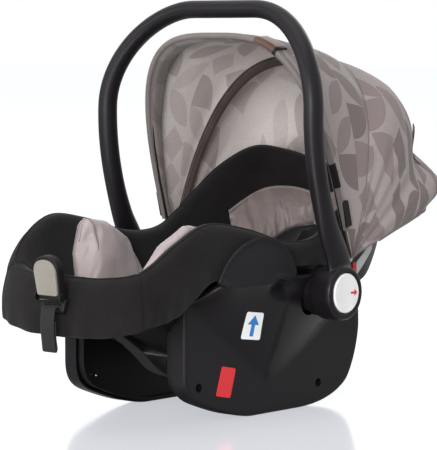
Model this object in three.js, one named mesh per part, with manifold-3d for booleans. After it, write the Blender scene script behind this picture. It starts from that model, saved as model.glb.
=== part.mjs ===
// Infant car seat: a reclined bucket on two rockers, with a carrying handle that locks in two side hubs,
// a folding sun canopy on two bows, a padded cover and insert, and a three-strap harness.
// Millimetres, +Z up, +Y towards the head end, left and right as the child sits (left is +X).
import * as THREE from "three";
import { mergeVertices } from "three/addons/utils/BufferGeometryUtils.js";
import Module from "manifold-3d";

const wasm = await Module();
wasm.setup();

// ---------------------------------------------------------------- driving dimensions
const originY = 66.85; // middle of the overall length, measured from the rockers' own datum
const gap = 0.3; // running and seating gap between neighbouring pieces
const wall = 3; // moulded wall of the shell and the rockers

// Half of the bucket's rim, from the middle of the foot end to the middle of the head end.
// x and y are the upper edge of the turned-down skirt, z is the crest and roll half its width.
// The skirt swells outwards by bulge and leans in by tuck over a drop of 90 mm; skirt is how far
// the moulded skirt hangs below the crest and hem how far the fabric cover does.
const rimStations = [
  { x: 0, y: -256, z: 201, roll: 14, bulge: 8, tuck: 10, skirt: 46, hem: 72 },
  { x: 72, y: -253, z: 202, roll: 14, bulge: 8, tuck: 10, skirt: 46, hem: 70 },
  { x: 125, y: -234, z: 212, roll: 13, bulge: 9, tuck: 8, skirt: 46, hem: 66 },
  { x: 146, y: -188, z: 248, roll: 10, bulge: 5, tuck: 6, skirt: 50, hem: 86 },
  { x: 151, y: -135, z: 271, roll: 9, bulge: 2, tuck: 3, skirt: 55, hem: 72 },
  { x: 154, y: -60, z: 262, roll: 8, bulge: 0, tuck: 0, skirt: 50, hem: 54 },
  { x: 155, y: 30, z: 239, roll: 8, bulge: 0, tuck: 0, skirt: 30, hem: 27 },
  { x: 155, y: 100, z: 242, roll: 8, bulge: 0, tuck: 0, skirt: 33, hem: 27 },
  { x: 155, y: 170, z: 284, roll: 8, bulge: 0, tuck: 3, skirt: 110, hem: 34 },
  { x: 149, y: 235, z: 328, roll: 8, bulge: 0, tuck: 5, skirt: 140, hem: 34 },
  { x: 126, y: 290, z: 355, roll: 9, bulge: 0, tuck: 6, skirt: 108, hem: 34 },
  { x: 88, y: 318, z: 350, roll: 9, bulge: 0, tuck: 6, skirt: 74, hem: 30 },
  { x: 0, y: 334, z: 326, roll: 9, bulge: 0, tuck: 6, skirt: 46, hem: 28 },
];
const spineFoot = -182; // the bucket's floor runs from here
const spineHead = 252; // to here
const floorBase = 50; // height under which the floor never falls
const legSlope = 0.55; // rise of the leg rest towards the foot end
const backSlope = 0.95; // rise of the backrest
const bucketFullness = 2.3; // superellipse exponent of the bucket's cross-section
const coverThick = 5;
const coverGap = 0.8;
const insertThick = 20;
const headPadThick = 24;

// Places where the harness passes through the bucket
const crotchY = -62;
const slotY = 205;
const strapX = 38;

// Rockers
const rockerX = 114.5; // outer face of the rocker below the relief
const rockerFlange = 24; // width of the turned-in flange
const panelTopX = 170; // outer face where the panel meets the belt guide
const panelTopZ = 198;
const panelFront = -141;
const panelRear = 245;
const guideThick = 5; // lap belt guide plate
const guideIn = 165.6; // its inner face, clear of the cover for the belt

// Handle and its hubs
const hubY = 93;
const hubZ = 172;
const hubRadius = 38.5;
const hubIn = 172.4; // inner face of the handle's hub drum
const hubOut = 209; // outer face of the drum
const webIn = 183; // web between the two recesses of the drum
const webOut = 190;
const socketIn = 158.3;
const socketOut = 172;
const socketFloor = 161;
const socketRadius = 34.3;
const gearIn = 167;
const gearOut = 176;
const dogHeight = 3;
const handleHeight = 396.5; // middle of the top bar above the hub axis
const handleLowHalfWidth = 196;
const handleTopHalfWidth = 195;
const handleCornerX = 136;
const handleCornerZ = 141;
const handleCornerPower = 1.05;

// Canopy: bows fan out from one axis behind the hubs
const fanY = 150;
const fanZ = 215;
const canopyHalfWidth = 175;
const canopySheet = 2.5;
const bowThick = 3;
const bowBroad = 9;
const frontBowAngle = -17.5; // degrees from upright, towards the head end
const middleBowAngle = 19;
const hemSideAngle = 71;
const hemMiddleAngle = 80;

// ---------------------------------------------------------------- materials
const paint = (color, roughness, metalness = 0) =>
  new THREE.MeshStandardMaterial({ color, roughness, metalness });
const charcoal = paint(0x2d2b2f, 0.55);
const darkPlastic = paint(0x1d1c1e, 0.6);
const blackFabric = paint(0x151416, 0.95);
const beigeFabric = paint(0xb5a9a2, 0.9);
const canopyFabric = paint(0xb9aea6, 0.9);
const webbing = paint(0x232226, 0.85);
const greyPlastic = paint(0xaaa89c, 0.5);
const redPlastic = paint(0xc8343a, 0.45);
const steel = paint(0x9a9ca0, 0.3, 0.9);
const silicone = paint(0xe9e6e4, 0.4);
const leather = paint(0x6b4a3a, 0.7);

const carSeat = new THREE.Group();
carSeat.position.y = -originY;

// ---------------------------------------------------------------- geometry helpers
const rad = THREE.MathUtils.degToRad;
const vec = (x, y, z) => new THREE.Vector3(x, y, z);

// Closed, merged, outward-facing geometry without degenerate triangles.
function finished(geometry) {
  const bare = geometry.clone();
  for (const name of Object.keys(bare.attributes)) if (name !== "position") bare.deleteAttribute(name);
  const merged = mergeVertices(bare, 1e-3);
  const p = merged.attributes.position;
  const kept = [];
  const corners = [vec(), vec(), vec()];
  let volume = 0;
  const index = merged.index.array;
  for (let i = 0; i < index.length; i += 3) {
    const [a, b, c] = [index[i], index[i + 1], index[i + 2]];
    if (a === b || b === c || a === c) continue;
    kept.push(a, b, c);
    [a, b, c].forEach((n, k) => corners[k].fromBufferAttribute(p, n));
    volume += corners[0].dot(corners[1].clone().cross(corners[2]));
  }
  if (volume < 0) for (let i = 0; i < kept.length; i += 3) [kept[i], kept[i + 1]] = [kept[i + 1], kept[i]];
  merged.setIndex(kept);
  return merged;
}

function asSolid(geometry) {
  const g = finished(geometry);
  const solid = new wasm.Mesh({
    numProp: 3,
    vertProperties: new Float32Array(g.attributes.position.array),
    triVerts: new Uint32Array(g.index.array),
  });
  return new wasm.Manifold(solid);
}

function asGeometry(solid) {
  const made = solid.getMesh();
  const g = new THREE.BufferGeometry();
  g.setAttribute("position", new THREE.BufferAttribute(made.vertProperties, 3));
  g.setIndex(new THREE.BufferAttribute(made.triVerts, 1));
  return g;
}

const cut = (body, ...tools) => asGeometry(tools.reduce((s, t) => s.subtract(asSolid(t)), asSolid(body)));
const join = (...bodies) => asGeometry(
  bodies.slice(1).reduce((s, b) => s.add(asSolid(b)), asSolid(bodies[0]))
);
const common = (a, b) => asGeometry(asSolid(a).intersect(asSolid(b)));

// The right-hand piece is the left-hand one mirrored across X = 0.
const mirrored = (geometry) => finished(finished(geometry).scale(-1, 1, 1));

function add(name, geometry, material) {
  const mesh = new THREE.Mesh(finished(geometry), material);
  mesh.geometry.computeVertexNormals();
  mesh.name = name;
  carSeat.add(mesh);
}

function addPair(name, geometry, material) {
  add(name + "_left", geometry, material);
  add(name + "_right", mirrored(geometry), material);
}

// Surface through a grid of points; the grid's rows and columns may close on themselves.
function gridFaces(points, columns, flip, index) {
  for (let i = 0; i + 1 < points; i++)
    for (let j = 0; j + 1 < columns; j++) {
      const [a, b, c, d] = [
        i * columns + j, (i + 1) * columns + j, (i + 1) * columns + j + 1, i * columns + j + 1,
      ];
      if (flip) index.push(a, c, b, a, d, c);
      else index.push(a, b, c, a, c, d);
    }
}

// Solid between two grids of the same size, closed along every edge; rows that start and end
// on the same points close by themselves when the vertices are merged.
function sheet(top, bottom) {
  const rows = top.length;
  const columns = top[0].length;
  const positions = [...top.flat(), ...bottom.flat()].flatMap((v) => v.toArray());
  const index = [];
  gridFaces(rows, columns, false, index);
  const lower = [];
  gridFaces(rows, columns, true, lower);
  const shift = rows * columns;
  lower.forEach((n) => index.push(n + shift));
  const edge = (a, b) => index.push(a, b + shift, a + shift, a, b, b + shift);
  const wrapRows = top[0].every((v, j) => v.distanceTo(top[rows - 1][j]) < 1e-6);
  for (let j = 0; j + 1 < columns && !wrapRows; j++) {
    edge(j, j + 1);
    edge((rows - 1) * columns + j + 1, (rows - 1) * columns + j);
  }
  const wrapColumns = top.every((row) => row[0].distanceTo(row[columns - 1]) < 1e-6);
  const pole = (column) => top.every((row, i) => row[column].distanceTo(top[rows - 1 - i][column]) < 1e-4);
  for (let i = 0; i + 1 < rows && !wrapColumns; i++) {
    if (!(wrapRows && pole(0))) edge((i + 1) * columns, i * columns);
    if (!(wrapRows && pole(columns - 1))) edge(i * columns + columns - 1, (i + 1) * columns + columns - 1);
  }
  const g = new THREE.BufferGeometry();
  g.setAttribute("position", new THREE.Float32BufferAttribute(positions, 3));
  g.setIndex(index);
  return finished(g);
}

// Solid through closed rings of equal length, with fans over the two ends.
function loft(rings) {
  const n = rings[0].length;
  const positions = rings.flat().flatMap((v) => v.toArray());
  const index = [];
  for (let i = 0; i + 1 < rings.length; i++)
    for (let j = 0; j < n; j++) {
      const k = (j + 1) % n;
      const [a, b, c, d] = [i * n + j, i * n + k, (i + 1) * n + k, (i + 1) * n + j];
      index.push(a, b, c, a, c, d);
    }
  for (const [start, flip] of [[0, true], [(rings.length - 1) * n, false]]) {
    const ring = start === 0 ? rings[0] : rings[rings.length - 1];
    const middle = ring.reduce((s, v) => s.add(v), vec(0, 0, 0)).divideScalar(n);
    const m = positions.length / 3;
    positions.push(...middle.toArray());
    for (let j = 0; j < n; j++) {
      const k = (j + 1) % n;
      index.push(...(flip ? [m, start + k, start + j] : [m, start + j, start + k]));
    }
  }
  const g = new THREE.BufferGeometry();
  g.setAttribute("position", new THREE.Float32BufferAttribute(positions, 3));
  g.setIndex(index);
  return finished(g);
}

// An outline in the Y-Z plane, given as [y, z] pairs or a Shape, extruded along X.
function slab(outline, x0, x1) {
  const shape = Array.isArray(outline) ? new THREE.Shape(
    outline.map(([y, z]) => new THREE.Vector2(y, z))
  ) : outline;
  const g = new THREE.ExtrudeGeometry(shape, { depth: x1 - x0, bevelEnabled: false, curveSegments: 8 });
  g.applyMatrix4(new THREE.Matrix4().set(0, 0, 1, x0, 1, 0, 0, 0, 0, 1, 0, 0, 0, 0, 0, 1));
  return finished(g);
}

// A profile of [radius, x] pairs turned about the X direction through (y, z).
function turned(profile, y, z, segments = 24) {
  const g = new THREE.LatheGeometry(profile.map(([r, x]) => new THREE.Vector2(r, x)), segments);
  g.rotateZ(-Math.PI / 2).translate(0, y, z);
  return finished(g);
}

const drum = (radius, x0, x1, y, z, segments = 24) =>
  turned([[0, x0], [radius, x0], [radius, x1], [0, x1]], y, z, segments);

// A closed section of [across, out] pairs carried along a path, with a given outward direction.
function swept(path, outward, section) {
  const rings = path.map((p, i) => {
    const along = path[Math.min(i + 1, path.length - 1)].clone().sub(path[Math.max(i - 1, 0)]).normalize();
    const out = outward(i, along).clone();
    out.addScaledVector(along, -out.dot(along)).normalize();
    const across = along.clone().cross(out);
    return section(i).map(([a, o]) => p.clone().addScaledVector(across, a).addScaledVector(out, o));
  });
  return loft(rings);
}

const ellipse = (a, b, sides = 12) =>
  Array.from({ length: sides }, (_, k) => {
    const t = (2 * Math.PI * k) / sides;
    return [a * Math.cos(t), b * Math.sin(t)];
  });

const roundedBar = (width, thickness) => {
  const [w, t] = [width / 2, thickness / 2];
  const c = Math.min(w, t) * 0.6;
  return [
    [w - c, -t], [w, -t + c], [w, t - c], [w - c, t], [c - w, t], [-w, t - c], [-w, c - t], [c - w, -t],
  ];
};

const plate = (shape, depth, segments = 5) =>
  new THREE.ExtrudeGeometry(shape, { depth, bevelEnabled: false, curveSegments: segments });
function roundedRect(width, height, radius) {
  const [w, h, r] = [width / 2, height / 2, radius];
  const s = new THREE.Shape();
  s.absarc(w - r, h - r, r, 0, Math.PI / 2);
  s.absarc(r - w, h - r, r, Math.PI / 2, Math.PI);
  s.absarc(r - w, r - h, r, Math.PI, 1.5 * Math.PI);
  s.absarc(w - r, r - h, r, 1.5 * Math.PI, 2 * Math.PI);
  return s;
}
const block = (w, h, d, x = 0, y = 0, z = 0) => new THREE.BoxGeometry(w, h, d).translate(x, y, z);

// ---------------------------------------------------------------- bucket surface
const softRise = (s) => (s + Math.sqrt(s * s + 1600)) / 2;
const floorHeight = (y) => floorBase + legSlope * softRise(-12 - y) + backSlope * softRise(y - 62);
const seatLean = (y) => Math.atan((floorHeight(y + 1) - floorHeight(y - 1)) / 2);

const through = (keys) => new THREE.CatmullRomCurve3(rimStations.map((s) => vec(...keys.map((k) => s[k]))));
const rimCurve = through(["x", "y", "z"]);
const crestCurve = through(["roll", "bulge", "tuck"]);
const edgeCurve = through(["skirt", "hem", "roll"]);

// One vertical section of the bucket at t along the half rim, on side +1 or -1. pointAt(w, lift)
// walks it: w from -1 at the lower edge, over the crest at 0, to 1 on the floor's middle line,
// raised by lift from the shell's visible face. The lower edge is the skirt's or the hem's.
function bucketSection(t, side, edge = "skirt") {
  const rim = rimCurve.getPoint(t);
  const [roll, bulge, tuck] = crestCurve.getPoint(t).toArray();
  const [skirt, hem] = edgeCurve.getPoint(t).toArray();
  const drop = (edge === "skirt" ? skirt : hem) - roll;
  const spineY = THREE.MathUtils.mapLinear(
    rim.y, rimStations[0].y, rimStations.at(-1).y, spineFoot, spineHead,
  );
  const toSpine = new THREE.Vector2(-rim.x, spineY - rim.y);
  const reach = toSpine.length();
  toSpine.normalize();
  const lowest = floorHeight(spineY);
  const place = (w) => {
    if (w < -0.3) {
      const down = (drop * (-0.3 - w)) / 0.7;
      const swell = bulge * Math.sin(Math.PI * Math.min(down / 90, 1));
      return [tuck * (down / 90) ** 2 - swell, rim.z - roll - down];
    }
    if (w < 0.15) {
      const turn = Math.PI * (1 - (w + 0.3) / 0.45);
      return [roll + roll * Math.cos(turn), rim.z - roll + roll * Math.sin(turn)];
    }
    const turn = ((w - 0.15) / 0.85) * (Math.PI / 2);
    const power = 2 / bucketFullness;
    const a = 1 - Math.cos(turn) ** power;
    const b = Math.sin(turn) ** power;
    return [2 * roll + (reach - 2 * roll) * a, rim.z - roll + (lowest - rim.z + roll) * b];
  };
  return (w, lift = 0) => {
    const [a, z] = w >= 1 ? [reach, lowest] : place(w);
    const [a0, z0] = place(Math.max(w - 0.004, -1));
    const [a1, z1] = w > 0.99 ? [a0 + 1, z0] : place(w + 0.004);
    const length = Math.hypot(a1 - a0, z1 - z0);
    const inward = a - (lift * (z1 - z0)) / length;
    const x = w >= 1 ? 0 : side * (rim.x + toSpine.x * inward);
    return vec(x, rim.y + toSpine.y * inward, z + (lift * (a1 - a0)) / length);
  };
}

const skirtRows = [-1, -0.65, -0.3];
const hemRows = [-1, -0.825, -0.65, -0.475, -0.3];
const crestRows = [-0.15, 0, 0.15];
const wallRows = [0.32, 0.48, 0.64, 0.82, 1];
const upperRows = [...crestRows, ...wallRows];
const halfStations = 16;

// Stations all the way round: up the left side from foot to head and back down the right.
const loopStations = [
  ...Array.from({ length: halfStations + 1 }, (_, i) => [i / halfStations, 1]),
  ...Array.from({ length: halfStations }, (_, i) => [1 - (i + 1) / halfStations, -1]),
];

function bucketSheet(rows, lowLift, highLift, edge) {
  const layer = (lift) => loopStations.map(
    ([t, side]) => rows.map((w) => bucketSection(t, side, edge)(w, lift))
  );
  return sheet(layer(highLift), layer(lowLift));
}

// The bucket filled up to its crest, used to trim what stands against its outside.
function bucketBlock(lift) {
  const rows = [0, 0.15, ...wallRows];
  const skin = loopStations.map(([t, side]) => rows.map((w) => bucketSection(t, side)(w, lift)));
  const lid = skin.map((row) => [vec(0, row[0].y, 500), vec(row[0].x, row[0].y, 500), ...row]);
  const positions = lid.flat().flatMap((v) => v.toArray());
  const index = [];
  gridFaces(lid.length, lid[0].length, false, index);
  const g = new THREE.BufferGeometry();
  g.setAttribute("position", new THREE.Float32BufferAttribute(positions, 3));
  g.setIndex(index);
  return finished(g);
}

// ---------------------------------------------------------------- front adjuster's place
// Frame on the foot end's front face: u across, v up the face, n forward.
const adjusterLean = rad(16);
const adjusterPlace = vec(0, -275, 178);
const onAdjuster = (g) =>
  finished(g).rotateX(Math.PI / 2 - adjusterLean).translate(0, adjusterPlace.y, adjusterPlace.z);
const inAdjuster = (u, v, n) => vec(u, v, n).applyAxisAngle(
  vec(1, 0, 0), Math.PI / 2 - adjusterLean,
).add(adjusterPlace);
// Opening for the adjuster's neck through the cover and the skirt.
const neckV = -9.5;
const neckHole = onAdjuster(block(31, 11.4, 34, 0, neckV, -18));

// ---------------------------------------------------------------- shell
const hubBoss = cut(
  drum(30, 120, socketIn - gap, hubY, hubZ),
  bucketBlock(-1.2),
  drum(5.8, 139, socketIn + 1, hubY, hubZ, 16),
);
const bareShell = bucketSheet([...skirtRows, ...upperRows], -wall, 0, "skirt");

// Slots for the two shoulder straps in the back and for the crotch strap in the floor.
function strapSlot(x, y, width, length, lean) {
  const g = new THREE.BoxGeometry(width, length, 60);
  g.rotateX(lean).translate(x, y, floorHeight(y));
  return g;
}
const backLean = Math.atan(backSlope);
const slots = [
  strapSlot(strapX, slotY, 34, 10, backLean),
  strapSlot(-strapX, slotY, 34, 10, backLean),
  strapSlot(0, crotchY, 32, 9, seatLean(crotchY)),
];
add("seat_shell", cut(join(bareShell, hubBoss, mirrored(hubBoss)), ...slots, neckHole), charcoal);

// ---------------------------------------------------------------- fabric cover and padding
const cover = bucketSheet([...hemRows, ...upperRows], coverGap, coverGap + coverThick, "hem");
add("seat_cover", cut(cover, ...slots, neckHole), blackFabric);

// Padding lies on the cover, so its underside is the cover's own inner face.
const padBase = coverGap + coverThick + gap;
const onCover = (pad) => common(pad, bucketBlock(padBase));

// Body insert: from the leg bolsters, which climb onto the rim, down to a low edge at the hips
// and up the lower back. It is laid in askew, further forward on the left. Its edges are rolled.
const insertRear = 0.63;
const insertMiddleFront = 0.26;
const insertKnots = [0, 0.1, 0.26, 0.45, 0.66, 1];
const insertSides = {
  [1]: { front: 0.185, tops: [0.1, 0.06, 0.06, 0.2, 0.42, 0.5] },
  [-1]: { front: 0.355, tops: [0.26, 0.08, 0.07, 0.16, 0.42, 0.5] },
};
function insertPoint(s, c, side, lift) {
  const { front, tops } = insertSides[side];
  const k = Math.max(1, insertKnots.findIndex((knot) => knot >= s));
  const top = THREE.MathUtils.mapLinear(s, insertKnots[k - 1], insertKnots[k], tops[k - 1], tops[k]);
  const start = THREE.MathUtils.lerp(front, insertMiddleFront, c ** 1.5);
  return bucketSection(THREE.MathUtils.lerp(start, insertRear, s), side)(top + (1 - top) * c, lift);
}
function bodyInsert() {
  const [steps, rows] = [13, 8];
  const climb = Array.from({ length: rows }, (_, k) => (k / rows) ** 1.25);
  const thickness = (s, c) => {
    const ends = Math.min(1, 6 * Math.min(s, 1 - s), 6 * c);
    const bolster = 1 + 0.5 * Math.exp(-(((c - 0.17) / 0.15) ** 2) - ((s - 0.2) / 0.28) ** 2);
    return padBase + insertThick * (0.35 + 0.65 * Math.sqrt(ends)) * bolster;
  };
  const row = (s, lift) => {
    const onSide = (side) => climb.map((c) => insertPoint(s, c, side, lift(s, c)));
    return [...onSide(1), insertPoint(s, 1, 1, lift(s, 1)), ...onSide(-1).reverse()];
  };
  const layer = (lift) => Array.from({ length: steps + 1 }, (_, i) => row(i / steps, lift));
  return sheet(layer(thickness), layer(() => -6));
}
add("body_insert", cut(onCover(bodyInsert()), ...slots), beigeFabric);

// Horseshoe pad round the head: a roll that follows the inside of the head end.
function headPad() {
  const steps = 14;
  const [high, low] = [0.33, 0.74];
  const rise = [0, 0.25, 0.5, 0.75, 1];
  const rings = Array.from({ length: steps + 1 }, (_, i) => {
    const s = (2 * i) / steps - 1;
    const section = bucketSection(1 - Math.abs(s) * 0.25, s < 0 ? 1 : -1);
    const thick = headPadThick * (1 - 0.5 * Math.abs(s) ** 4);
    const inner = rise.map((r) => section(high + (low - high) * r, -6));
    const outer = rise.map(
      (r) => section(high + (low - high) * r, padBase + thick * (0.4 + 0.6 * Math.sin(Math.PI * r)))
    );
    return [...inner, ...outer.reverse()];
  });
  return loft(rings);
}
add("head_pad", onCover(headPad()), beigeFabric);

// ---------------------------------------------------------------- rockers and side panels
// Height of the relief line pressed into the side panel: a skewed V, lowest at reliefY.
const reliefY = 28;
function reliefLine(y) {
  const reach = y - reliefY;
  const slope = reach < 0 ? 1.12 : 0.66;
  const limit = 0.00165 * (reach < 0 ? reach * reach : 0);
  return 30 + slope * Math.sqrt(reach * reach + 700) * 0.96 - limit;
}
// Outer face of the side panel at a place on it.
const reliefTop = panelTopZ - 26;
function panelX(y, z) {
  const low = Math.min(reliefLine(y), reliefTop);
  const climb = THREE.MathUtils.clamp((z - low) / (panelTopZ - low), 0, 1);
  const beltDip = 15 * Math.exp(-(((y - 22) / 30) ** 2) - ((z - 186) / 13) ** 2);
  return rockerX + (panelTopX - rockerX) * climb - beltDip;
}

// Rocker outline, inset all round by a margin: a flat of 110 mm, long easy curves fore and aft,
// and a rounded toe and heel.
function rockerShape(inset, top) {
  const s = new THREE.Shape();
  const [f, r, b] = [panelFront + inset, panelRear - inset, inset];
  s.moveTo(0, b);
  s.lineTo(110, b);
  s.bezierCurveTo(160, b + 1, 195, b + 12, 216, b + 30);
  s.bezierCurveTo(r - 18, b + 44, r - 4, b + 72, r, b + 108);
  top(s, f, r);
  s.lineTo(f, b + 70);
  s.bezierCurveTo(f + 1, b + 44, f + 14, b + 34, f + 38, b + 26);
  s.bezierCurveTo(-62, b + 11, -32, b + 3, 0, b);
  return s;
}
const panelTop = (s, f, r) => {
  s.lineTo(r - 2, 168);
  s.lineTo(118, 160);
  s.lineTo(112, panelTopZ);
  s.lineTo(-112, panelTopZ);
  s.bezierCurveTo(-126, panelTopZ - 1, f + 4, 172, f, 158);
};
const openTop = (s, f, r) => {
  s.lineTo(r, 260);
  s.lineTo(f, 260);
};

// The volume between a flat inner plane and the panel's face, pushed in by depth. Its grid
// follows the relief line, so the crease stays sharp.
function underPanel(innerX, depth) {
  const steps = 18;
  const climbs = [0, 0.45, 0.72, 0.84, 0.94, 1.05];
  const grid = (x) =>
    Array.from({ length: steps + 1 }, (_, i) => {
      const y = panelFront - 4 + ((panelRear - panelFront + 8) * i) / steps;
      const low = Math.min(reliefLine(y), reliefTop);
      const heights = [-4, ...climbs.map((c) => low + (panelTopZ - low) * c)];
      return heights.map((z) => vec(x(y, z), y, z));
    });
  return sheet(grid((y, z) => panelX(y, z) - depth), grid(() => innerX));
}

const screwPlaces = { front: [-112, 52], rear: [148, 32] };
const panelInner = rockerX - rockerFlange;
function sidePanel() {
  const outside = common(slab(rockerShape(0, panelTop), panelInner, 200), underPanel(panelInner - 10, 0));
  const hollow = common(
    slab(rockerShape(wall, openTop), panelInner - 5, 200), underPanel(panelInner - 10, wall),
  );
  let panel = cut(outside, hollow);
  for (const [y, z] of Object.values(screwPlaces)) {
    const boss = turned([[0, panelInner], [8, panelInner], [8, rockerX - 1], [0, rockerX - 1]], y, z, 20);
    panel = cut(
      join(panel, boss), drum(6.2, panelInner + 10, rockerX + 5, y, z, 20), drum(2.8, 80, rockerX, y, z, 12),
    );
  }
  panel = cut(panel, drum(socketRadius + 1.2, 100, 200, hubY, hubZ, 28), bucketBlock(-wall - 1));
  return join(panel, lapBeltGuide());
}

// Domed plate that stands outside the cover; the lap belt runs under its rear lower corner.
function lapBeltGuide() {
  const s = new THREE.Shape();
  s.moveTo(-136, panelTopZ - 3);
  s.bezierCurveTo(-126, 226, -98, 248, -60, 256);
  s.bezierCurveTo(-26, 262, 8, 250, 26, 216);
  s.bezierCurveTo(32, 202, 34, 196, 33, 190);
  s.lineTo(-4, panelTopZ - 1);
  s.lineTo(-30, panelTopZ - 9);
  s.lineTo(-106, panelTopZ - 9);
  return slab(s, guideIn, guideIn + guideThick);
}
addPair("side_panel", sidePanel(), charcoal);

// Inner wall of each rocker, standing under the bucket; windows lighten it.
function rockerWall() {
  const x0 = panelInner - gap - wall;
  const toBucket = (s, f, r) => {
    s.lineTo(r, 230);
    s.lineTo(f, 190);
  };
  let wallPlate = slab(rockerShape(wall + 1, toBucket), x0, x0 + wall);
  const rib = slab(rockerShape(wall + 1, toBucket), x0 - 8, x0 + 1);
  const ribHole = slab(rockerShape(wall + 5, toBucket), x0 - 10, x0 + 1);
  wallPlate = join(wallPlate, cut(rib, ribHole));
  const holes = Object.values(screwPlaces).map(([y, z]) => drum(2.6, x0 - 10, x0 + 10, y, z, 12));
  return cut(wallPlate, bucketBlock(-wall - 1), ...holes);
}
addPair("rocker_wall", rockerWall(), darkPlastic);

for (const [where, [y, z]] of Object.entries(screwPlaces)) {
  const seat = panelInner + 10 + gap;
  const screw = turned(
    [
      [0, seat - 24],
      [2.2, seat - 22],
      [2.2, seat],
      [5.4, seat],
      [5.4, seat + 1.6],
      [4, seat + 3],
      [0, seat + 3],
    ], y, z, 12);
  addPair("panel_screw_" + where, screw, steel);
}

// ---------------------------------------------------------------- handle and hubs
// Middle line of the handle's left half, from just above the hub to the middle of the top bar.
function handleLine(count) {
  const sideLean = (rise) => hubY + 20 - 0.589 * rise + 9.15e-4 * rise ** 2 + 7.8e-7 * rise ** 3;
  const straight = handleHeight - handleCornerZ;
  const legs = Array.from({ length: count }, (_, i) => {
    const rise = 14 + ((straight - 14) * i) / count;
    const x = THREE.MathUtils.lerp(handleLowHalfWidth, handleTopHalfWidth, rise / straight);
    return [x, rise];
  });
  const corner = Array.from({ length: count + 1 }, (_, i) => {
    const turn = ((Math.PI / 2) * i) / count;
    const x = handleTopHalfWidth - handleCornerX + handleCornerX * Math.cos(turn) ** handleCornerPower;
    return [x, straight + handleCornerZ * Math.sin(turn) ** handleCornerPower];
  });
  corner.at(-1)[1] = handleHeight;
  return [...legs, ...corner, [0, handleHeight]].map(([x, rise]) => {
    const blend = THREE.MathUtils.smoothstep(rise, 0, 90);
    const y = THREE.MathUtils.lerp(hubY, sideLean(rise), blend);
    return vec(x, y, hubZ + rise);
  });
}
const handleHalf = handleLine(7);
const handlePath = [...handleHalf, ...handleHalf.slice(0, -1).reverse().map((p) => vec(-p.x, p.y, p.z))];
const handleArch = swept(
  handlePath,
  (i) => vec(handlePath[i].x / 197, 0, Math.max(0, handlePath[i].z - hubZ - 180) / 200),
  (i) => {
    const rise = handlePath[i].z - hubZ;
    const flare = 1 - THREE.MathUtils.smoothstep(rise, 10, 150);
    return ellipse(15.5 + 9 * flare, 12.8 - 4.8 * flare, 12);
  },
);

// Drum at the handle's end: a button recess outside, a recess for the lock gear inside, and a
// ring of face teeth on the web between them.
const dogs = 12;
function dogTooth(inner, outer, x0, x1, index, share) {
  const pitch = (2 * Math.PI) / dogs;
  const [a, b] = [(index - share / 2) * pitch, (index + share / 2) * pitch];
  const spot = (r, t) => [hubY + r * Math.cos(t), hubZ + r * Math.sin(t)];
  return slab([spot(inner, a), spot(outer, a), spot(outer, b), spot(inner, b)], x0, x1);
}
const pinRing = 14.5;
const pinSpots = [90, 210, 330].map(
  (a) => [hubY + pinRing * Math.cos(rad(a)), hubZ + pinRing * Math.sin(rad(a))]
);
function hubDrum() {
  const r = hubRadius;
  const rim = [
    [0, hubIn],
    [r - 1.5, hubIn],
    [r, hubIn + 1.5],
    [r, hubOut - 5],
    [r - 1.4, hubOut - 1.6],
    [r - 5, hubOut],
    [0, hubOut],
  ];
  const pins = pinSpots.map(([y, z]) => drum(2.8, 170, 200, y, z, 10));
  const body = cut(
    turned(rim, hubY, hubZ, 30),
    drum(28.4, webOut, 220, hubY, hubZ, 28),
    drum(27.8, 160, webIn, hubY, hubZ, 28),
    drum(6, 160, 220, hubY, hubZ, 16),
    ...pins,
  );
  const teeth = Array.from(
    { length: dogs }, (_, k) => dogTooth(19, 24.5, webIn - dogHeight, webIn + 1, k, 0.45),
  );
  return join(body, ...teeth);
}
const leftDrum = hubDrum();
const innerClear = drum(27.8, 160, webIn - dogHeight - 0.2, hubY, hubZ, 28);
const outerClear = drum(28.4, webOut, 230, hubY, hubZ, 28);
const handleWithClearance = cut(
  handleArch, drum(hubRadius - 6, 150, 230, hubY, hubZ, 28), mirrored(
    drum(hubRadius - 6, 150, 230, hubY, hubZ, 28)
  ));
add("handle", join(handleWithClearance, leftDrum, mirrored(leftDrum)), charcoal);

// Fixed socket on the shell's boss: internal splines that keep the lock gear from turning.
const splines = 16;
function splineRing(rootRadius, tipRadius) {
  return Array.from({ length: splines * 4 }, (_, k) => {
    const t = (2 * Math.PI * (k + 0.5)) / (splines * 4);
    const r = k % 4 < 2 ? rootRadius : tipRadius;
    return [hubY + r * Math.cos(t), hubZ + r * Math.sin(t)];
  });
}
const socket = cut(
  drum(socketRadius, socketIn, socketOut, hubY, hubZ, 28),
  slab(splineRing(26.2, 24.2), socketFloor, socketOut + 5),
  drum(5.8, 150, 180, hubY, hubZ, 16),
);
addPair("handle_socket", socket, darkPlastic);

// Lock gear: splined in the socket, with face teeth towards the drum and a pocket for its spring.
const lockTeeth = Array.from(
  { length: dogs }, (_, k) => dogTooth(19, 23.4, gearOut - 1, gearOut + dogHeight, k + 0.5, 0.45),
);
const lockGear = cut(
  join(slab(splineRing(25.8, 23.8), gearIn, gearOut), ...lockTeeth),
  drum(6.2, 150, 190, hubY, hubZ, 16),
  drum(13, gearIn - 5, gearIn + 6, hubY, hubZ, 24),
);
addPair("lock_gear", lockGear, steel);

// Compression spring between the socket's floor and the gear.
function coilSpring() {
  const turns = 2.5;
  const steps = 25;
  const wire = 0.9;
  const [x0, x1] = [socketFloor + gap + wire, gearIn + 6 - gap - wire];
  const path = Array.from({ length: steps + 1 }, (_, i) => {
    const t = (turns * 2 * Math.PI * i) / steps;
    return vec(x0 + ((x1 - x0) * i) / steps, hubY + 10 * Math.cos(t), hubZ + 10 * Math.sin(t));
  });
  return swept(path, (i) => path[i].clone().sub(vec(path[i].x, hubY, hubZ)), () => ellipse(wire, wire, 5));
}
addPair("hub_spring", coilSpring(), steel);

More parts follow.
